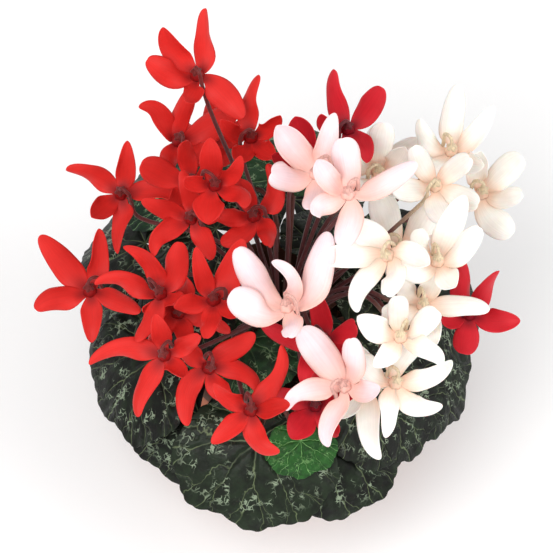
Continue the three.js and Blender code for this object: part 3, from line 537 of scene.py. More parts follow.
def corm_material():
    """Corky skin of the tuber: brown, rough and cracked."""
    material, tree, shader = start_material("tuber_skin", 0.9)
    skin = add(tree, "TexCoord", output="Object")
    edge = add(tree, "TexVoronoi", "DISTANCE_TO_EDGE", {"Vector": skin, "Scale": 240.0})
    cork = add(tree, "MapRange", None, (edge, 0.0, 0.2))
    colour = add(tree, "Mix", "RGBA", {0: cork, 6: linear("#2B1D14"), 7: linear("#6A4B33")})
    return finish_material(material, shader, colour, cork, 0.7, 0.001)


def grit_material():
    """Crushed expanded perlite: chalk white and porous."""
    material, tree, shader = start_material("perlite", 0.95)
    skin = add(tree, "TexCoord", output="Object")
    pores = add(tree, "TexNoise", None, {"Vector": skin, "Scale": 1500.0, "Detail": 3.0})
    colour = add(tree, "Mix", "RGBA", {0: pores, 6: linear("#C9C2B4"), 7: linear("#F2EEE6")})
    return finish_material(material, shader, colour)


# Blooms of each colour: the colour of the petals' face and of their darker part by the mouth,
# which is partly the petal's own deeper colour and partly painted shade, how far up a petal the
# darker part runs, how much further (or less far) it runs along the edges, which on the red petals
# leaves painted shade down their middles, how much light a petal lets through, its bluntness,
# from a tapering horn to the bowl of a spoon, and the colour of the calyx with the hook of its
# stalk.
BLOOM_KINDS = {
    "scarlet": {"face": "#D42924", "deep_and_shade": "#8C1416", "reach": 0.4, "edge": -0.2,
                "glow": 0.1, "bluntness": (1.7, 3.0), "hook": "#6A1E1C"},
    "crimson": {"face": "#C7212D", "deep_and_shade": "#7E1120", "reach": 0.4, "edge": -0.2,
                "glow": 0.1, "bluntness": (1.8, 3.2), "hook": "#5E1A22"},
    "pink": {"face": "#FADFE3", "deep_and_shade": "#F0C0B4", "reach": 0.8, "edge": 0.3,
             "glow": 0.25, "bluntness": (3.2, 5), "hook": "#D6A59A"},
    "white": {"face": "#FFF9F1", "deep_and_shade": "#EBC8B1", "reach": 0.5, "edge": 0.1,
              "glow": 0.35, "bluntness": (2.2, 4), "hook": "#D8C6A6"},
}

# Leaves of each age: the dark and the green of the skin, its silver, its ribs, and how plainly
# the silver shows.
LEAF_KINDS = {
    "marbled_leaf": ("#0B0D08", "#1C2718", "#92A288", "#5C6849", 0.8),
    "half_grown_leaf": ("#14291A", "#26492A", "#8DAD84", "#6C8F62", 0.8),
    "young_leaf": ("#173A15", "#255620", "#74A062", "#76A862", 0.5),
}

# Ways that a petal holds itself: how far its sides bend round, in radians, and how far in
# millimetres its tip curls away. A minus sign turns the hollow to the front.
PETAL_HABITS = [
    {"cup": 0.75, "curl": 3}, {"cup": 1.0, "curl": 5}, {"cup": 0.6, "curl": -2},
    {"cup": -0.9, "curl": -3}, {"cup": -0.7, "curl": 4},
]

STALK_COLOUR = "#5B2A2A"
STALK_FOOT_COLOUR = "#7C5A48"
LEAF_STALK_COLOUR = "#6A3A32"
TUBER_COLOUR = "#5A4030"


# Making a piece


def put(name, data):
    """Puts an object in the scene, at the origin."""
    made = bpy.data.objects.new(name, data)
    bpy.context.scene.collection.objects.link(made)
    return made


def put_mesh(name, bm, *materials):
    mesh = bpy.data.meshes.new(name)
    bm.to_mesh(mesh)
    bm.free()
    for material in materials:
        mesh.materials.append(material)
    return put(name, mesh)


def piece(name, bm, materials, node):
    """Turns a mesh in millimetres into a smooth piece in metres, in the place of a node."""
    bm.transform(Matrix.Scale(MM, 4))
    made = put_mesh(name, bm, *materials)
    made.data.polygons.foreach_set("use_smooth", [True] * len(made.data.polygons))
    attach(made, "root")
    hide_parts(node)
    return made


def give_walls(made, thickness, material_offset=0):
    wall = made.modifiers.new("wall", "SOLIDIFY")
    wall.thickness = thickness * MM
    wall.offset = 0
    wall.material_offset = material_offset


def spun(bm, profile, steps):
    """Spins a profile of [radius, height] points about +Z and gives its new points."""
    before = set(bm.verts)
    corners = [bm.verts.new((radius, 0, height)) for radius, height in profile]
    edges = [bm.edges.new(pair) for pair in zip(corners, corners[1:])]
    bmesh.ops.spin(bm, geom=corners + edges, cent=(0, 0, 0), axis=(0, 0, 1),
                   angle=2 * math.pi, steps=steps, use_merge=True)
    made = [v for v in bm.verts if v not in before]
    bmesh.ops.remove_doubles(bm, verts=made, dist=0.001)
    return [v for v in bm.verts if v not in before]


def lay_out(uv, places):
    """Gives each corner its place on the flat petal or blade, in the UV map."""
    for corner, place in places.items():
        for loop in corner.link_loops:
            loop[uv].uv = place


def paint(corners, index):
    """Gives the faces round some corners one of their piece's materials."""
    for corner in corners:
        for face in corner.link_faces:
            face.material_index = index


# Blooms


def in_view(right, up, out):
    return VIEW_RIGHT * right + VIEW_UP * up + VIEW_OUT * out


def petal_breadth(along):
    """Breadth of a CAD petal along its length, as a share of its widest."""
    if along >= 1:
        return 0
    blade = math.sin(math.pi * along ** 1.45) ** 0.6
    return blade * (0.4 + 0.6 * smooth_step(0, 0.4, along)) + 0.15 * (1 - along) ** 6


def half_breadth(along, widest, off_axis, bluntness):
    """Half the breadth of a finished petal. Near the mouth the five petals share the round
    between them, so each is as wide there as its distance off the axis lets it be."""
    blade = widest / 2 * (0.8 + 0.2 * smooth_step(0, 0.4, along))
    blade *= math.sqrt(max(1 - along ** bluntness, 0)) + 0.001
    share = off_axis * math.tan(math.pi / PETALS) + 0.2
    return (blade ** -4 + share ** -4) ** -0.25


def bloom_frame(row, forward):
    """A bloom's calyx, its axis up from the mouth, and its petals in order round that axis."""
    _, right, up, height, *petals = row
    calyx = Vector((right, (up - height * VIEW_UP.z) / VIEW_UP.y, height)) + VIEW_OUT * forward
    tips = [in_view(*petal[:3]) for petal in petals]
    axis = (UPRIGHT * AXIS_UPRIGHTNESS + sum(tips, Vector()) / PETALS).normalized()
    side = axis.cross(VIEW_RIGHT).normalized()
    front = side.cross(axis)
    order = sorted(((math.atan2(tip.dot(side), tip.dot(front)), tip, petal[3], (*petal, 0)[4])
                    for tip, petal in zip(tips, petals)), key=lambda entry: entry[0])
    turns = [entry[0] - i * math.tau / PETALS for i, entry in enumerate(order)]
    start = math.atan2(sum(map(math.sin, turns)), sum(map(math.cos, turns)))

    def side_at(turn):
        angle = start + turn * math.tau / PETALS
        return front * math.cos(angle) + side * math.sin(angle)

    return {"calyx": calyx, "axis": axis, "petals": [entry[1:] for entry in order],
            "side_at": side_at}


def petal_run(bloom, index):
    """A petal's spine and its turn, as a function of the share of its length, and its breadth."""
    calyx, axis = bloom["calyx"], bloom["axis"]
    offset, shown, bow = bloom["petals"][index]
    away = bloom["side_at"](index)
    tip = calyx + offset
    reach = offset.length
    root = calyx + axis * (ROOT_DEPTH - THROAT_LENGTH) + away * (ROOT_SHARE * THROAT_RADIUS)
    bulge = VIEW_OUT.cross(offset).normalized()
    turn = root + away * (CLAW_REACH * reach) - axis * (CLAW_DROP * reach)
    turn += bulge * (CLAW_BOW * bow)
    rise = turn.lerp(tip, RISE_SHARE) + bulge * (RISE_BOW * bow)
    breadth = max(shown, NARROWEST_PETAL)
    roll = math.acos(shown / breadth) * (1 if index % 2 else -1)
    at_root = axis.cross(away)

    def at(along):
        back = 1 - along
        point = (root * back ** 3 + turn * (3 * back * back * along)
                 + rise * (3 * back * along * along) + tip * along ** 3)
        tangent = ((turn - root) * (back * back) + (rise - turn) * (2 * back * along)
                   + (tip - rise) * (along * along)).normalized()
        facing = tangent.cross(VIEW_OUT).normalized()
        if facing.dot(at_root) < 0:
            facing.negate()
        share = smooth_step(TURN_START, TURN_END, along)
        across = at_root.lerp(facing, share)
        across = (across - tangent * across.dot(tangent)).normalized()
        across.rotate(Matrix.Rotation(roll * share, 3, tangent))
        return point, across, tangent.cross(across).normalized()

    return at, breadth


def coarse_top(bloom):
    """Highest point of the CAD petals of a bloom."""
    top = -math.inf
    for index in range(PETALS):
        at, breadth = petal_run(bloom, index)
        for along in CAD_STATIONS:
            point, across, normal = at(along)
            for x in (-1, 1):
                corner = point + across * (x * breadth / 2 * petal_breadth(along))
                top = max(top, corner.z + abs(normal.z) * CAD_PETAL_THICKNESS / 2)
    return top


def settled_bloom(row, node):
    """The bloom's frame where the CAD part has settled it, along the line of view."""
    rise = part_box(node)[1].z / MM - coarse_top(bloom_frame(row, 0))
    return bloom_frame(row, rise / VIEW_OUT.z)


def distance_to_run(point, run):
    """Distance of a point from a stalk's run."""
    least = math.inf
    for start, end in zip(run, run[1:]):
        nearest, share = intersect_point_line(point, start, end)
        nearest = start if share < 0 else end if share > 1 else nearest
        least = min(least, (point - nearest).length)
    return least


def clear_halves(at, half_at, side, run):
    """Half breadths of a petal on one side, row by row: where the stalk rises between two
    petals, each gives way to it."""
    halves = []
    for row in range(PETAL_ROWS + 1):
        along = row_share(row)
        point, across, _ = at(along)
        full = half_at(along)
        steps = max(int(full / 0.5), 1)
        reached = 0.0
        for step in range(1, steps + 1):
            tried = full * step / steps
            if distance_to_run(point + across * (side * tried), run) < STALK_CLEARANCE:
                break
            reached = tried
        halves.append(reached)
    for _ in range(2):
        beyond = [halves[0], *halves, halves[-1]]
        halves = [min(half, (before + half + after) / 3 + 0.2)
                  for before, half, after in zip(beyond, halves, beyond[2:])]
    return halves


def row_share(row):
    """Share of a petal's length at a row of its mesh: rows crowd towards the round tip."""
    return math.sin(row / PETAL_ROWS * math.pi / 2)


def petal_sheet(bm, layers, bloom, index, wild, kind, run):
    """Adds one petal as a sheet: cupped across, rippled along its rim, its tip curled back."""
    at, breadth = petal_run(bloom, index)
    _, _, middle = at(TURN_END)
    outward = 1 if middle.dot(VIEW_OUT) > 0 else -1
    habit = wild.choice(PETAL_HABITS)
    bluntness = wild.uniform(*kind["bluntness"])
    cup = habit["cup"] * wild.uniform(0.8, 1.2)
    curl = habit["curl"] * wild.uniform(0.6, 1.3)
    ripple = wild.uniform(0.3, 0.9)
    phase = wild.uniform(0, math.tau)
    seed = wild.uniform(0, 100)
    spread = 1 + 0.12 * abs(cup)

    def half_at(along):
        from_calyx = at(along)[0] - bloom["calyx"]
        off_axis = (from_calyx - bloom["axis"] * from_calyx.dot(bloom["axis"])).length
        return half_breadth(along, breadth * spread, off_axis, bluntness)

    near = [corner for corner in run if (corner - bloom["calyx"]).length < STALK_REACH]
    halves = {side: clear_halves(at, half_at, side, near) for side in (-1, 1)}
    made = bmesh.ops.create_grid(bm, x_segments=PETAL_COLUMNS, y_segments=PETAL_ROWS, size=0.5)
    sheet = {}
    for corner in made["verts"]:
        x = 2 * corner.co.x
        row = round((corner.co.y + 0.5) * PETAL_ROWS)
        along = row_share(row)
        point, across, normal = at(along)
        half = halves[-1 if x < 0 else 1][row]
        bend = abs(cup) * smooth_step(*CUPPED, along) + 0.001
        aside = half / bend * math.sin(x * bend)
        depth = half / bend * (1 - math.cos(x * bend)) * math.copysign(1, cup)
        depth += curl * smooth_step(*CURLED, along) ** 2
        wave = ripple * math.sin(RIPPLES * math.tau * along + phase + 1.3 * x) * abs(x) ** 3
        wave *= 4 * along * (1 - along)
        corner.co = point + across * aside + normal * (outward * (wave - depth))
        corner[layers["seed"]] = seed
        # The rise places the darker colour: on the red petals it runs further up the middle than
        # along the edges, as painted shade.
        corner[layers["rise"]] = along - kind["edge"] * x * x
        sheet[corner] = (0.5 + x / 2, along)
    lay_out(layers["uv"], sheet)
    bmesh.ops.remove_doubles(bm, verts=made["verts"], dist=0.001)


def set_on_calyx(bm, corners, bloom):
    """Carries corners, made upright round the origin, to the back of a bloom."""
    behind = -bloom["side_at"](0.5)
    beside = behind.cross(bloom["axis"])
    turn = Matrix((beside, behind, bloom["axis"])).transposed().to_4x4()
    bmesh.ops.transform(bm, verts=corners, matrix=Matrix.Translation(bloom["calyx"]) @ turn)


def throat_cup(bm, layers, bloom):
    """Adds the short cup that the petals leave, closed behind and open at the mouth."""
    made = spun(bm, THROAT, PETALS * 6)
    for corner in made:
        depth = -corner.co.z / THROAT_LENGTH
        angle = math.atan2(corner.co.y, corner.co.x)
        lobe = 1 + THROAT_LOBE * depth * math.cos(PETALS * (angle - math.pi / 10))
        corner.co.x *= lobe
        corner.co.y *= lobe
        corner[layers["seed"]] = angle
    lay_out(layers["uv"], dict.fromkeys(made, (0.5, 0.02)))
    set_on_calyx(bm, made, bloom)


def make_bloom(number, row, bloom, stalk, materials):
    colour = row[0]
    node = f"bloom_{number:02d}_{colour}"
    wild = random.Random(number)
    bm = bmesh.new()
    layers = {"uv": bm.loops.layers.uv.new("petal")}
    for name in ("seed", "rise"):
        layers[name] = bm.verts.layers.float.new(name)
    for index in range(PETALS):
        petal_sheet(bm, layers, bloom, index, wild, BLOOM_KINDS[colour], stalk)
    throat_cup(bm, layers, bloom)
    made = piece(f"petals_{number:02d}", bm, [materials[colour]], node)
    give_walls(made, PETAL_THICKNESS)


# Leaves


def blade_reach(angle):
    """Heart-shaped outline of a blade: its distance from the base at an angle off its tip."""
    turn = abs(angle) / math.pi
    shoulder = BLADE_SHOULDER * math.sin(math.pi * min(turn * 1.25, 1))
    tip = BLADE_TIP * math.exp(-((angle / BLADE_TIP_ANGLE) ** 2))
    return BLADE_LENGTH - BLADE_NARROWING * turn + shoulder - BLADE_BACK * turn ** 6 + tip


def leaf_frame(row, lift):
    compass, distance, height, size, slope, gain, turn = row
    radial, heading = math.radians(compass), math.radians(compass + turn)
    return {
        "base": Vector((distance * math.cos(radial), distance * math.sin(radial), height + lift)),
        "ahead": Vector((math.cos(heading), math.sin(heading), 0)),
        "aside": Vector((-math.sin(heading), math.cos(heading), 0)),
        "size": size, "slope": math.radians(slope),
        "gain": math.radians(gain) / (BLADE_LENGTH * size), "phase": compass,
    }


def blade_point(leaf, ahead, aside):
    """A point of a blade that lies so far ahead of its base and so far to its side."""
    slope, gain, size = leaf["slope"], leaf["gain"], leaf["size"]
    run = (math.sin(slope + gain * ahead) - math.sin(slope)) / gain
    drop = (math.cos(slope) - math.cos(slope + gain * ahead)) / gain
    angle = math.atan2(aside, ahead)
    out = math.hypot(aside, ahead) / (blade_reach(angle) * size)
    wave = WAVE_HEIGHT * size * out * out * math.sin(BLADE_WAVES * angle + leaf["phase"])
    fold = BLADE_FOLD * aside * aside / size
    return (leaf["base"] + leaf["ahead"] * run + leaf["aside"] * aside
            + UPRIGHT * (wave - drop - fold))


def blade_normal(leaf, ahead, aside):
    step = 0.5
    forth = blade_point(leaf, ahead + step, aside) - blade_point(leaf, ahead - step, aside)
    across = blade_point(leaf, ahead, aside + step) - blade_point(leaf, ahead, aside - step)
    return forth.cross(across).normalized()


def coarse_tooth(angle, out):
    return 1 + TOOTH_DEPTH * out * math.cos(math.tau * BLADE_TEETH * angle / BLADE_ARC)


def coarse_blade_top(leaf):
    """Highest point of the CAD blade."""
    top = -math.inf
    for out in (0, 0.5, 1):
        for i in range(CAD_SPOKES + 1):
            angle = -BLADE_ARC / 2 + BLADE_ARC * i / CAD_SPOKES
            reach = out * coarse_tooth(angle, out) * blade_reach(angle) * leaf["size"]
            ahead, aside = reach * math.cos(angle), reach * math.sin(angle)
            normal = blade_normal(leaf, ahead, aside)
            point = blade_point(leaf, ahead, aside)
            top = max(top, point.z + abs(normal.z) * CAD_BLADE_THICKNESS / 2)
    return top


def make_leaf(number, row, materials):
    node = f"leaf_{number:02d}"
    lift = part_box(node)[1].z / MM - coarse_blade_top(leaf_frame(row, 0))
    leaf = leaf_frame(row, lift)
    size = leaf["size"]
    bm = bmesh.new()
    uv = bm.loops.layers.uv.new("blade")
    seed = bm.verts.layers.float.new("seed")
    shade = bm.verts.layers.float.new("shade")
    tone = random.Random(number).uniform(-0.35, 0.35)
    made = bmesh.ops.create_grid(bm, x_segments=LEAF_COLUMNS, y_segments=LEAF_ROWS, size=0.5)
    sheet = {}
    for corner in made["verts"]:
        angle = -corner.co.x * BLADE_ARC
        out = 1 - (0.5 - corner.co.y) ** 1.6
        tooth = coarse_tooth(angle, out)
        tooth += FINE_TOOTH_DEPTH * out ** 6 * abs(math.sin(FINE_TEETH * angle / 2 + number))
        reach = out * tooth * blade_reach(angle) * size
        ahead, aside = reach * math.cos(angle), reach * math.sin(angle)
        vein = abs((angle / MAIN_VEIN_SPACING + 0.5) % 1 - 0.5) * MAIN_VEIN_SPACING * reach
        pucker = PUCKER * smooth_step(0, 5, vein) * smooth_step(0, 0.25, out)
        swell = noise.noise(Vector((ahead / 9, aside / 9, number * 3.1))) * 0.7 * out
        normal = blade_normal(leaf, ahead, aside)
        corner.co = blade_point(leaf, ahead, aside) + normal * (pucker + swell)
        corner[seed] = number * 37.0
        corner[shade] = tone
        sheet[corner] = (BLADE_BASE[0] + ahead / size / BLADE_SPAN,
                         BLADE_BASE[1] + aside / size / BLADE_SPAN)
    lay_out(uv, sheet)
    bmesh.ops.remove_doubles(bm, verts=bm.verts, dist=0.001)
    upper = materials[LEAF_AGES.get(number, "marbled_leaf")]
    blade = piece(f"blade_{number:02d}", bm, [upper, materials["underleaf"]], node)
    give_walls(blade, BLADE_THICKNESS, material_offset=1)
    return leaf


# Stalks


def ring_finder(node):
    """A count of how many corners of a ring round a point the CAD stalks have, up to four."""
    spots = {tuple(round(c / MM, 2) for c in v.co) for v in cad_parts[node].data.vertices}
    tree = KDTree(len(spots))
    for i, spot in enumerate(spots):
        tree.insert(spot, i)
    tree.balance()

    def ring_at(centre, radius):
        near = tree.find_range(centre, radius + 0.02)
        return min(sum(distance > radius - 0.02 for _, _, distance in near), 4)

    return ring_at


def crown_point(carried, distance):
    flat = Vector((carried.x, carried.y, 0)).normalized() * distance
    flat.z = TUBER_CENTRE + TUBER_RADIUS * TUBER_FLATNESS / 2
    return flat


def flower_stalk_points(bloom, gap, radius, spread, arch, sway):
    """Points of a flower stalk: up through the leaves, out to its bloom, up through the gap
    between two petals, and over in a hook that carries the bloom from above."""
    calyx, axis = bloom["calyx"], bloom["axis"]
    beside = bloom["side_at"](gap + 0.5)
    outward = Vector((calyx.x, calyx.y, 0))
    distance = outward.length
    outward.normalize()
    chimney = outward * (CHIMNEY_SHARE * distance)
    hook = calyx + axis * HOOK_HEIGHT + beside * radius

    def on_hook(angle):
        return hook + beside * (radius * math.cos(angle)) + axis * (radius * math.sin(angle))

    along, down, back = (spread * share for share in UNDER_BLOOM)
    under = (calyx - axis * along - UPRIGHT * down
             + beside * (2 * radius) - outward * back)
    knee = (chimney + UPRIGHT * CHIMNEY_TOP).lerp(under, KNEE_SHARE)
    knee += UPRIGHT * (KNEE_RISE * distance + arch) + UPRIGHT.cross(outward) * sway
    return [
        crown_point(calyx, CROWN_SHARE * distance),
        chimney * CHIMNEY_TAPER + UPRIGHT * CHIMNEY_FOOT,
        knee,
        under,
        calyx - axis * THROAT_LENGTH + beside * (2 * radius),
        on_hook(0),
        on_hook(math.pi / 3),
        on_hook(2 * math.pi / 3),
        calyx + axis * (SEAT_GAP + 2),
    ]


def settled_flower_stalk(bloom, ring_at):
    """The way that the CAD part has settled for this stalk, told by the rings that it left."""
    def hook_corners(hook):
        points = flower_stalk_points(bloom, *hook, 0, 0)
        return sum(ring_at(points[i], FLOWER_STALK_RADIUS) for i in (3, 4, 5, 6))

    hook = max(((gap + shift, radius, spread) for radius in HOOK_RADII for spread in HOOK_SPREADS
                for gap in range(PETALS) for shift in GAP_SHIFTS), key=hook_corners)
    ways = (flower_stalk_points(bloom, *hook, arch, sway) for arch in ARCHES for sway in SWAYS)
    return max(ways, key=lambda points: ring_at(points[2], FLOWER_STALK_RADIUS))


def leaf_stalk_points(leaf, stand, arch, sway):
    """Points of a leaf stalk: it rises from the crown and meets the blade from below."""
    root = crown_point(leaf["base"], LEAF_CROWN_RADIUS)
    normal = blade_normal(leaf, STALK_SEAT, 0)
    midway = blade_reach(0) * leaf["size"] / 2
    end = blade_point(leaf, 0, 0).lerp(blade_point(leaf, midway, 0), STALK_SEAT / midway)
    end -= normal * (CAD_BLADE_THICKNESS / 2 + 1.4 * SEAT_GAP)
    outward = Vector((leaf["base"].x, leaf["base"].y, 0)).normalized()
    below = end - normal * stand - outward * LEAF_STALK_LEAN
    knee = root.lerp(below, 0.5)
    knee.z = max(knee.z + LEAF_KNEE_RISE, POT_HEIGHT + LEAF_KNEE_CLEARANCE) + arch
    knee += UPRIGHT.cross(outward) * sway
    return [root, knee, below, end]


def settled_leaf_stalk(leaf, ring_at):
    ways = (leaf_stalk_points(leaf, stand, arch, sway) for stand in LEAF_STANDS
            for arch in LEAF_ARCHES for sway in LEAF_SWAYS)
    return max(ways, key=lambda points: sum(
        ring_at(points[i], LEAF_STALK_RADIUS) for i in (1, 2)))


def rounded(points, steps):
    """A smooth run through points, as short steps that keep to the run between each two."""
    tangents = []
    for i, point in enumerate(points):
        before, after = points[max(i - 1, 0)], points[min(i + 1, len(points) - 1)]
        tangents.append((after - before).normalized())
    run = [points[0]]
    for i in range(len(points) - 1):
        start, end = points[i], points[i + 1]
        pull = (end - start).length * RUN_PULL
        first, second = start + tangents[i] * pull, end - tangents[i + 1] * pull
        for step in range(1, steps + 1):
            t = step / steps
            run.append(start * (1 - t) ** 3 + first * (3 * t * (1 - t) ** 2)
                       + second * (3 * t * t * (1 - t)) + end * t ** 3)
    return run


def stalk_tube(bm, tint, points, radii, colours):
    """Adds a round stalk along a run, with its radius and colour shared out over its length."""
    curve = bpy.data.curves.new("stalk_run", "CURVE")
    curve.dimensions = "3D"
    curve.bevel_depth = 1.0
    curve.bevel_resolution = 2
    curve.use_fill_caps = True
    spline = curve.splines.new("POLY")
    spline.points.add(len(points) - 1)
    for i, point in enumerate(points):
        share = i / (len(points) - 1)
        spline.points[i].co = (*point, 1)
        spline.points[i].radius = radii[0] + (radii[1] - radii[0]) * share
    holder = bpy.data.objects.new("stalk_run", curve)
    mesh = bpy.data.meshes.new_from_object(holder)
    before = set(bm.verts)
    bm.from_mesh(mesh)
    made = [corner for corner in bm.verts if corner not in before]
    foot, top, end = (Vector(linear(colour)[:3]) for colour in colours)
    last = points[-1]
    for corner in made:
        near = smooth_step(*HOOK_COLOUR_FADE, (corner.co - last).length)
        low = smooth_step(*FOOT_COLOUR_FADE, corner.co.z)
        corner[tint] = (*top.lerp(foot, low).lerp(end, near), 1)
    bpy.data.objects.remove(holder)
    bpy.data.curves.remove(curve)
    bpy.data.meshes.remove(mesh)


def calyx_star(bm, tint, bloom, colour):
    """Adds the five short sepals that clasp the back of a bloom."""
    made = spun(bm, CALYX, PETALS * 6)
    for corner in made:
        angle = math.atan2(corner.co.y, corner.co.x)
        reach = math.hypot(corner.co.x, corner.co.y)
        gap = smooth_step(2.2, 4.2, reach) * (0.5 - 0.5 * math.cos(PETALS * angle))
        lobe = 1 - SEPAL_GAP * gap
        corner.co.x *= lobe
        corner.co.y *= lobe
        corner[tint] = linear(colour)
    set_on_calyx(bm, made, bloom)


def tuber(bm, tint):
    """Adds the tuber: a flattened, lumpy corm."""
    made = bmesh.ops.create_uvsphere(bm, u_segments=48, v_segments=28, radius=TUBER_RADIUS)
    for corner in made["verts"]:
        lump = 1 + 0.05 * noise.noise(corner.co / 7) + 0.02 * noise.noise(corner.co / 2.4)
        corner.co *= lump
        corner.co.z = corner.co.z * TUBER_FLATNESS + TUBER_CENTRE
        corner[tint] = linear(TUBER_COLOUR)
    paint(made["verts"], 1)


def make_stalks(flower_stalks, leaf_stalks, materials):
    bm = bmesh.new()
    tint = bm.verts.layers.float_color.new("tint")
    tuber(bm, tint)
    for colour, bloom, run in flower_stalks:
        hook = BLOOM_KINDS[colour]["hook"]
        stalk_tube(bm, tint, run, FLOWER_STALK_TAPER, (STALK_FOOT_COLOUR, STALK_COLOUR, hook))
        calyx_star(bm, tint, bloom, hook)
    for points in leaf_stalks:
        stalk_tube(bm, tint, rounded(points, LEAF_STALK_STEPS), LEAF_STALK_TAPER,
                   (STALK_FOOT_COLOUR, LEAF_STALK_COLOUR, LEAF_STALK_COLOUR))
    bmesh.ops.recalc_face_normals(bm, faces=bm.faces)
    piece("stalks_and_tuber", bm, [materials["stalk"], materials["corm"]],
          "tuber_and_stalks")


# Pot and soil


def pot_wall_radius(height):
    """Radius of the outside of the tapered wall, which the rim band goes round."""
    return POT_FOOT_RADIUS + (POT_NECK_RADIUS - POT_FOOT_RADIUS) * height / POT_HEIGHT


def inner_pot_radius(height):
    foot = pot_wall_radius(POT_FLOOR) - POT_WALL
    return foot + (POT_MOUTH_RADIUS - foot) * (height - POT_FLOOR) / (POT_HEIGHT - POT_FLOOR)


def make_pot(materials):
    """Pressed clay pot: tapered wall, rim band with rounded edges, drainage holes."""
    foot, mouth, top = POT_FOOT_RADIUS, POT_MOUTH_RADIUS, POT_HEIGHT
    band = POT_HEIGHT - RIM_BAND_HEIGHT
    wall = pot_wall_radius(band)
    profile = [
        [0, 0], [foot - 1.4, 0], [foot - 0.4, 0.4], [foot + 0.1, 1.4],
        [pot_wall_radius(band * 0.5), band * 0.5], [wall, band], [wall + 0.6, band + 1.0],
        [wall + RIM_BAND_PROUD - 0.5, band + 1.6], [wall + RIM_BAND_PROUD + 0.2, band + 3],
        [POT_TOP_RADIUS, top - 2], [POT_TOP_RADIUS - 0.7, top - 0.6], [POT_TOP_RADIUS - 2.4, top],
        [mouth + 2.2, top], [mouth + 0.6, top - 0.7], [mouth, top - 2.4],
        [inner_pot_radius(POT_FLOOR + 4), POT_FLOOR + 4],
        [inner_pot_radius(POT_FLOOR) - 3, POT_FLOOR], [0, POT_FLOOR],
    ]
    bm = bmesh.new()
    spun(bm, profile, 96)
    bmesh.ops.recalc_face_normals(bm, faces=bm.faces)
    pot = piece("clay_pot", bm, [materials["clay"]], "pot")
    drills = bmesh.new()
    for i in range(DRAIN_HOLES):
        angle = (i + 0.5) * math.tau / DRAIN_HOLES
        place = Matrix.Translation((DRAIN_RING_RADIUS * math.cos(angle),
                                    DRAIN_RING_RADIUS * math.sin(angle), 0))
        bmesh.ops.create_cone(drills, cap_ends=True, segments=32, radius1=DRAIN_RADIUS,
                              radius2=DRAIN_RADIUS, depth=4 * POT_FLOOR, matrix=place)
    drills.transform(Matrix.Scale(MM, 4))
    cutter = put_mesh("drills", drills)
    cut = pot.modifiers.new("drain_holes", "BOOLEAN")
    cut.operation = "DIFFERENCE"
    cut.object = cutter
    bpy.context.view_layer.update()
    whole = bpy.data.meshes.new_from_object(
        pot.evaluated_get(bpy.context.evaluated_depsgraph_get()))
    pot.modifiers.remove(cut)
    pot.data = whole
    bpy.data.objects.remove(cutter)
    for polygon in whole.polygons:
        polygon.use_smooth = True
    whole.set_sharp_from_angle(angle=math.radians(35))


def make_soil(materials):
    """Potting mix: an uneven, crumbly surface with loose crumbs and white grit on it."""
    wild = random.Random(7)
    foot = POT_FLOOR + SEAT_GAP
    gap = 1.5 * SEAT_GAP
    rim = inner_pot_radius(SOIL_TOP) - gap
    profile = [[0, foot], [inner_pot_radius(foot) - gap, foot], [rim, SOIL_TOP - 1]]
    for i in range(SOIL_RINGS + 1):
        radius = rim * (1 - i / SOIL_RINGS)
        crown = SOIL_CROWN * smooth_step(rim, rim / 2, radius)
        profile.append([radius - 0.4 * (i == 0), SOIL_TOP + crown])
    bm = bmesh.new()
    made = spun(bm, profile, 90)
    for corner in made:
        if corner.co.z > SOIL_TOP - 0.5:
            lump = noise.noise(corner.co / 6) * 1.1 + noise.noise(corner.co / 2.2) * 0.7
            corner.co.z += lump - 0.9
    bmesh.ops.recalc_face_normals(bm, faces=bm.faces)
    for i in range(CRUMBS):
        radius = 30 + (rim - 33) * math.sqrt(wild.random())
        angle = wild.uniform(0, math.tau)
        size = wild.uniform(0.5, 1.5)
        height = SOIL_TOP + SOIL_CROWN * smooth_step(rim, rim / 2, radius) - 0.6
        place = Matrix.Translation((radius * math.cos(angle), radius * math.sin(angle), height))
        crumb = bmesh.ops.create_icosphere(bm, subdivisions=1, radius=size, matrix=place)
        for corner in crumb["verts"]:
            corner.co += Vector([wild.uniform(-0.25, 0.25) * size for _ in range(3)])
        paint(crumb["verts"], int(i % CRUMBS_PER_GRIT == 0))
    piece("potting_soil", bm, [materials["soil"], materials["grit"]], "soil")


# Stage


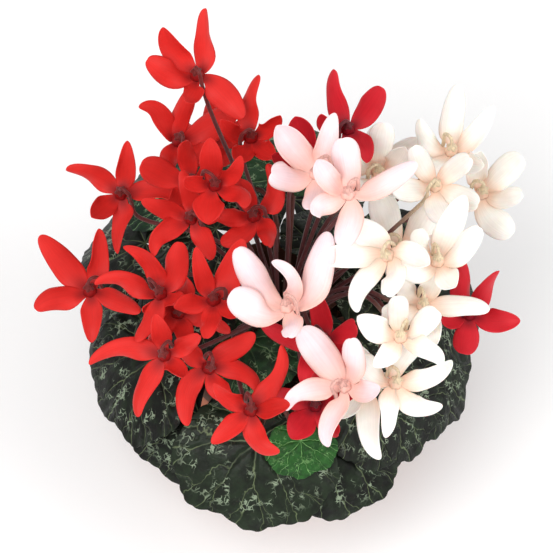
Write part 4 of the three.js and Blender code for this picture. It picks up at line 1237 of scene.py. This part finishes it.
def make_stage():
    """Pale floor, soft light from the left and above with a weaker one from the right, and the
    camera at the photo's angle."""
    material, _, shader = start_material("pale_floor", 0.9)
    shader.inputs["Base Color"].default_value = linear("#FFFFFF")
    bm = bmesh.new()
    bmesh.ops.create_grid(bm, x_segments=1, y_segments=1, size=FLOOR_REACH)
    put_mesh("floor", bm, material)

    world = bpy.data.worlds.new("studio")
    bpy.context.scene.world = world
    world.use_nodes = True
    background = world.node_tree.nodes["Background"]
    background.inputs["Color"].default_value = (1, 1, 1, 1)
    background.inputs["Strength"].default_value = WORLD_STRENGTH

    for name, place, size, power in SOFTBOXES:
        light = bpy.data.lights.new(name, "AREA")
        light.shape = "DISK"
        light.size = size
        light.energy = power
        lamp = put(name, light)
        lamp.location = place
        aim = Vector((0, 0, LIGHT_AIM_HEIGHT)) - lamp.location
        lamp.rotation_mode = "QUATERNION"
        lamp.rotation_quaternion = aim.to_track_quat("-Z", "Y")

    camera = bpy.data.cameras.new("camera")
    camera.sensor_width = 36
    camera.lens = camera.sensor_width * CAMERA_DISTANCE / FIELD_WIDTH
    camera.clip_end = 50
    eye = put("camera", camera)
    aim = in_view(*PICTURE_CENTRE, 0) * MM
    aim += VIEW_OUT * (PLANT_DEPTH * MM)
    eye.location = aim + VIEW_OUT * CAMERA_DISTANCE
    eye.rotation_mode = "QUATERNION"
    eye.rotation_quaternion = (-VIEW_OUT).to_track_quat("-Z", "Y")
    bpy.context.scene.camera = eye
    bpy.context.scene.view_settings.view_transform = "Standard"


def main():
    materials = {colour: petal_material(colour + "_petal", kind)
                 for colour, kind in BLOOM_KINDS.items()}
    materials |= {name: leaf_material(name, *kind) for name, kind in LEAF_KINDS.items()}
    materials |= {
        "underleaf": underleaf_material(), "stalk": stalk_material(), "corm": corm_material(),
        "soil": soil_material(), "grit": grit_material(), "clay": clay_material(),
    }
    make_stage()
    make_pot(materials)
    make_soil(materials)
    ring_at = ring_finder("tuber_and_stalks")
    leaf_stalks = []
    for number, row in enumerate(LEAVES, 1):
        leaf = make_leaf(number, row, materials)
        points = settled_leaf_stalk(leaf, ring_at)
        points[-1] += blade_normal(leaf, STALK_SEAT, 0) * (2 * SEAT_GAP)
        leaf_stalks.append(points)
    flower_stalks = []
    for number, row in enumerate(BLOOMS, 1):
        bloom = settled_bloom(row, f"bloom_{number:02d}_{row[0]}")
        run = rounded(settled_flower_stalk(bloom, ring_at), FLOWER_STALK_STEPS)
        make_bloom(number, row, bloom, run, materials)
        flower_stalks.append((row[0], bloom, run))
    make_stalks(flower_stalks, leaf_stalks, materials)


main()
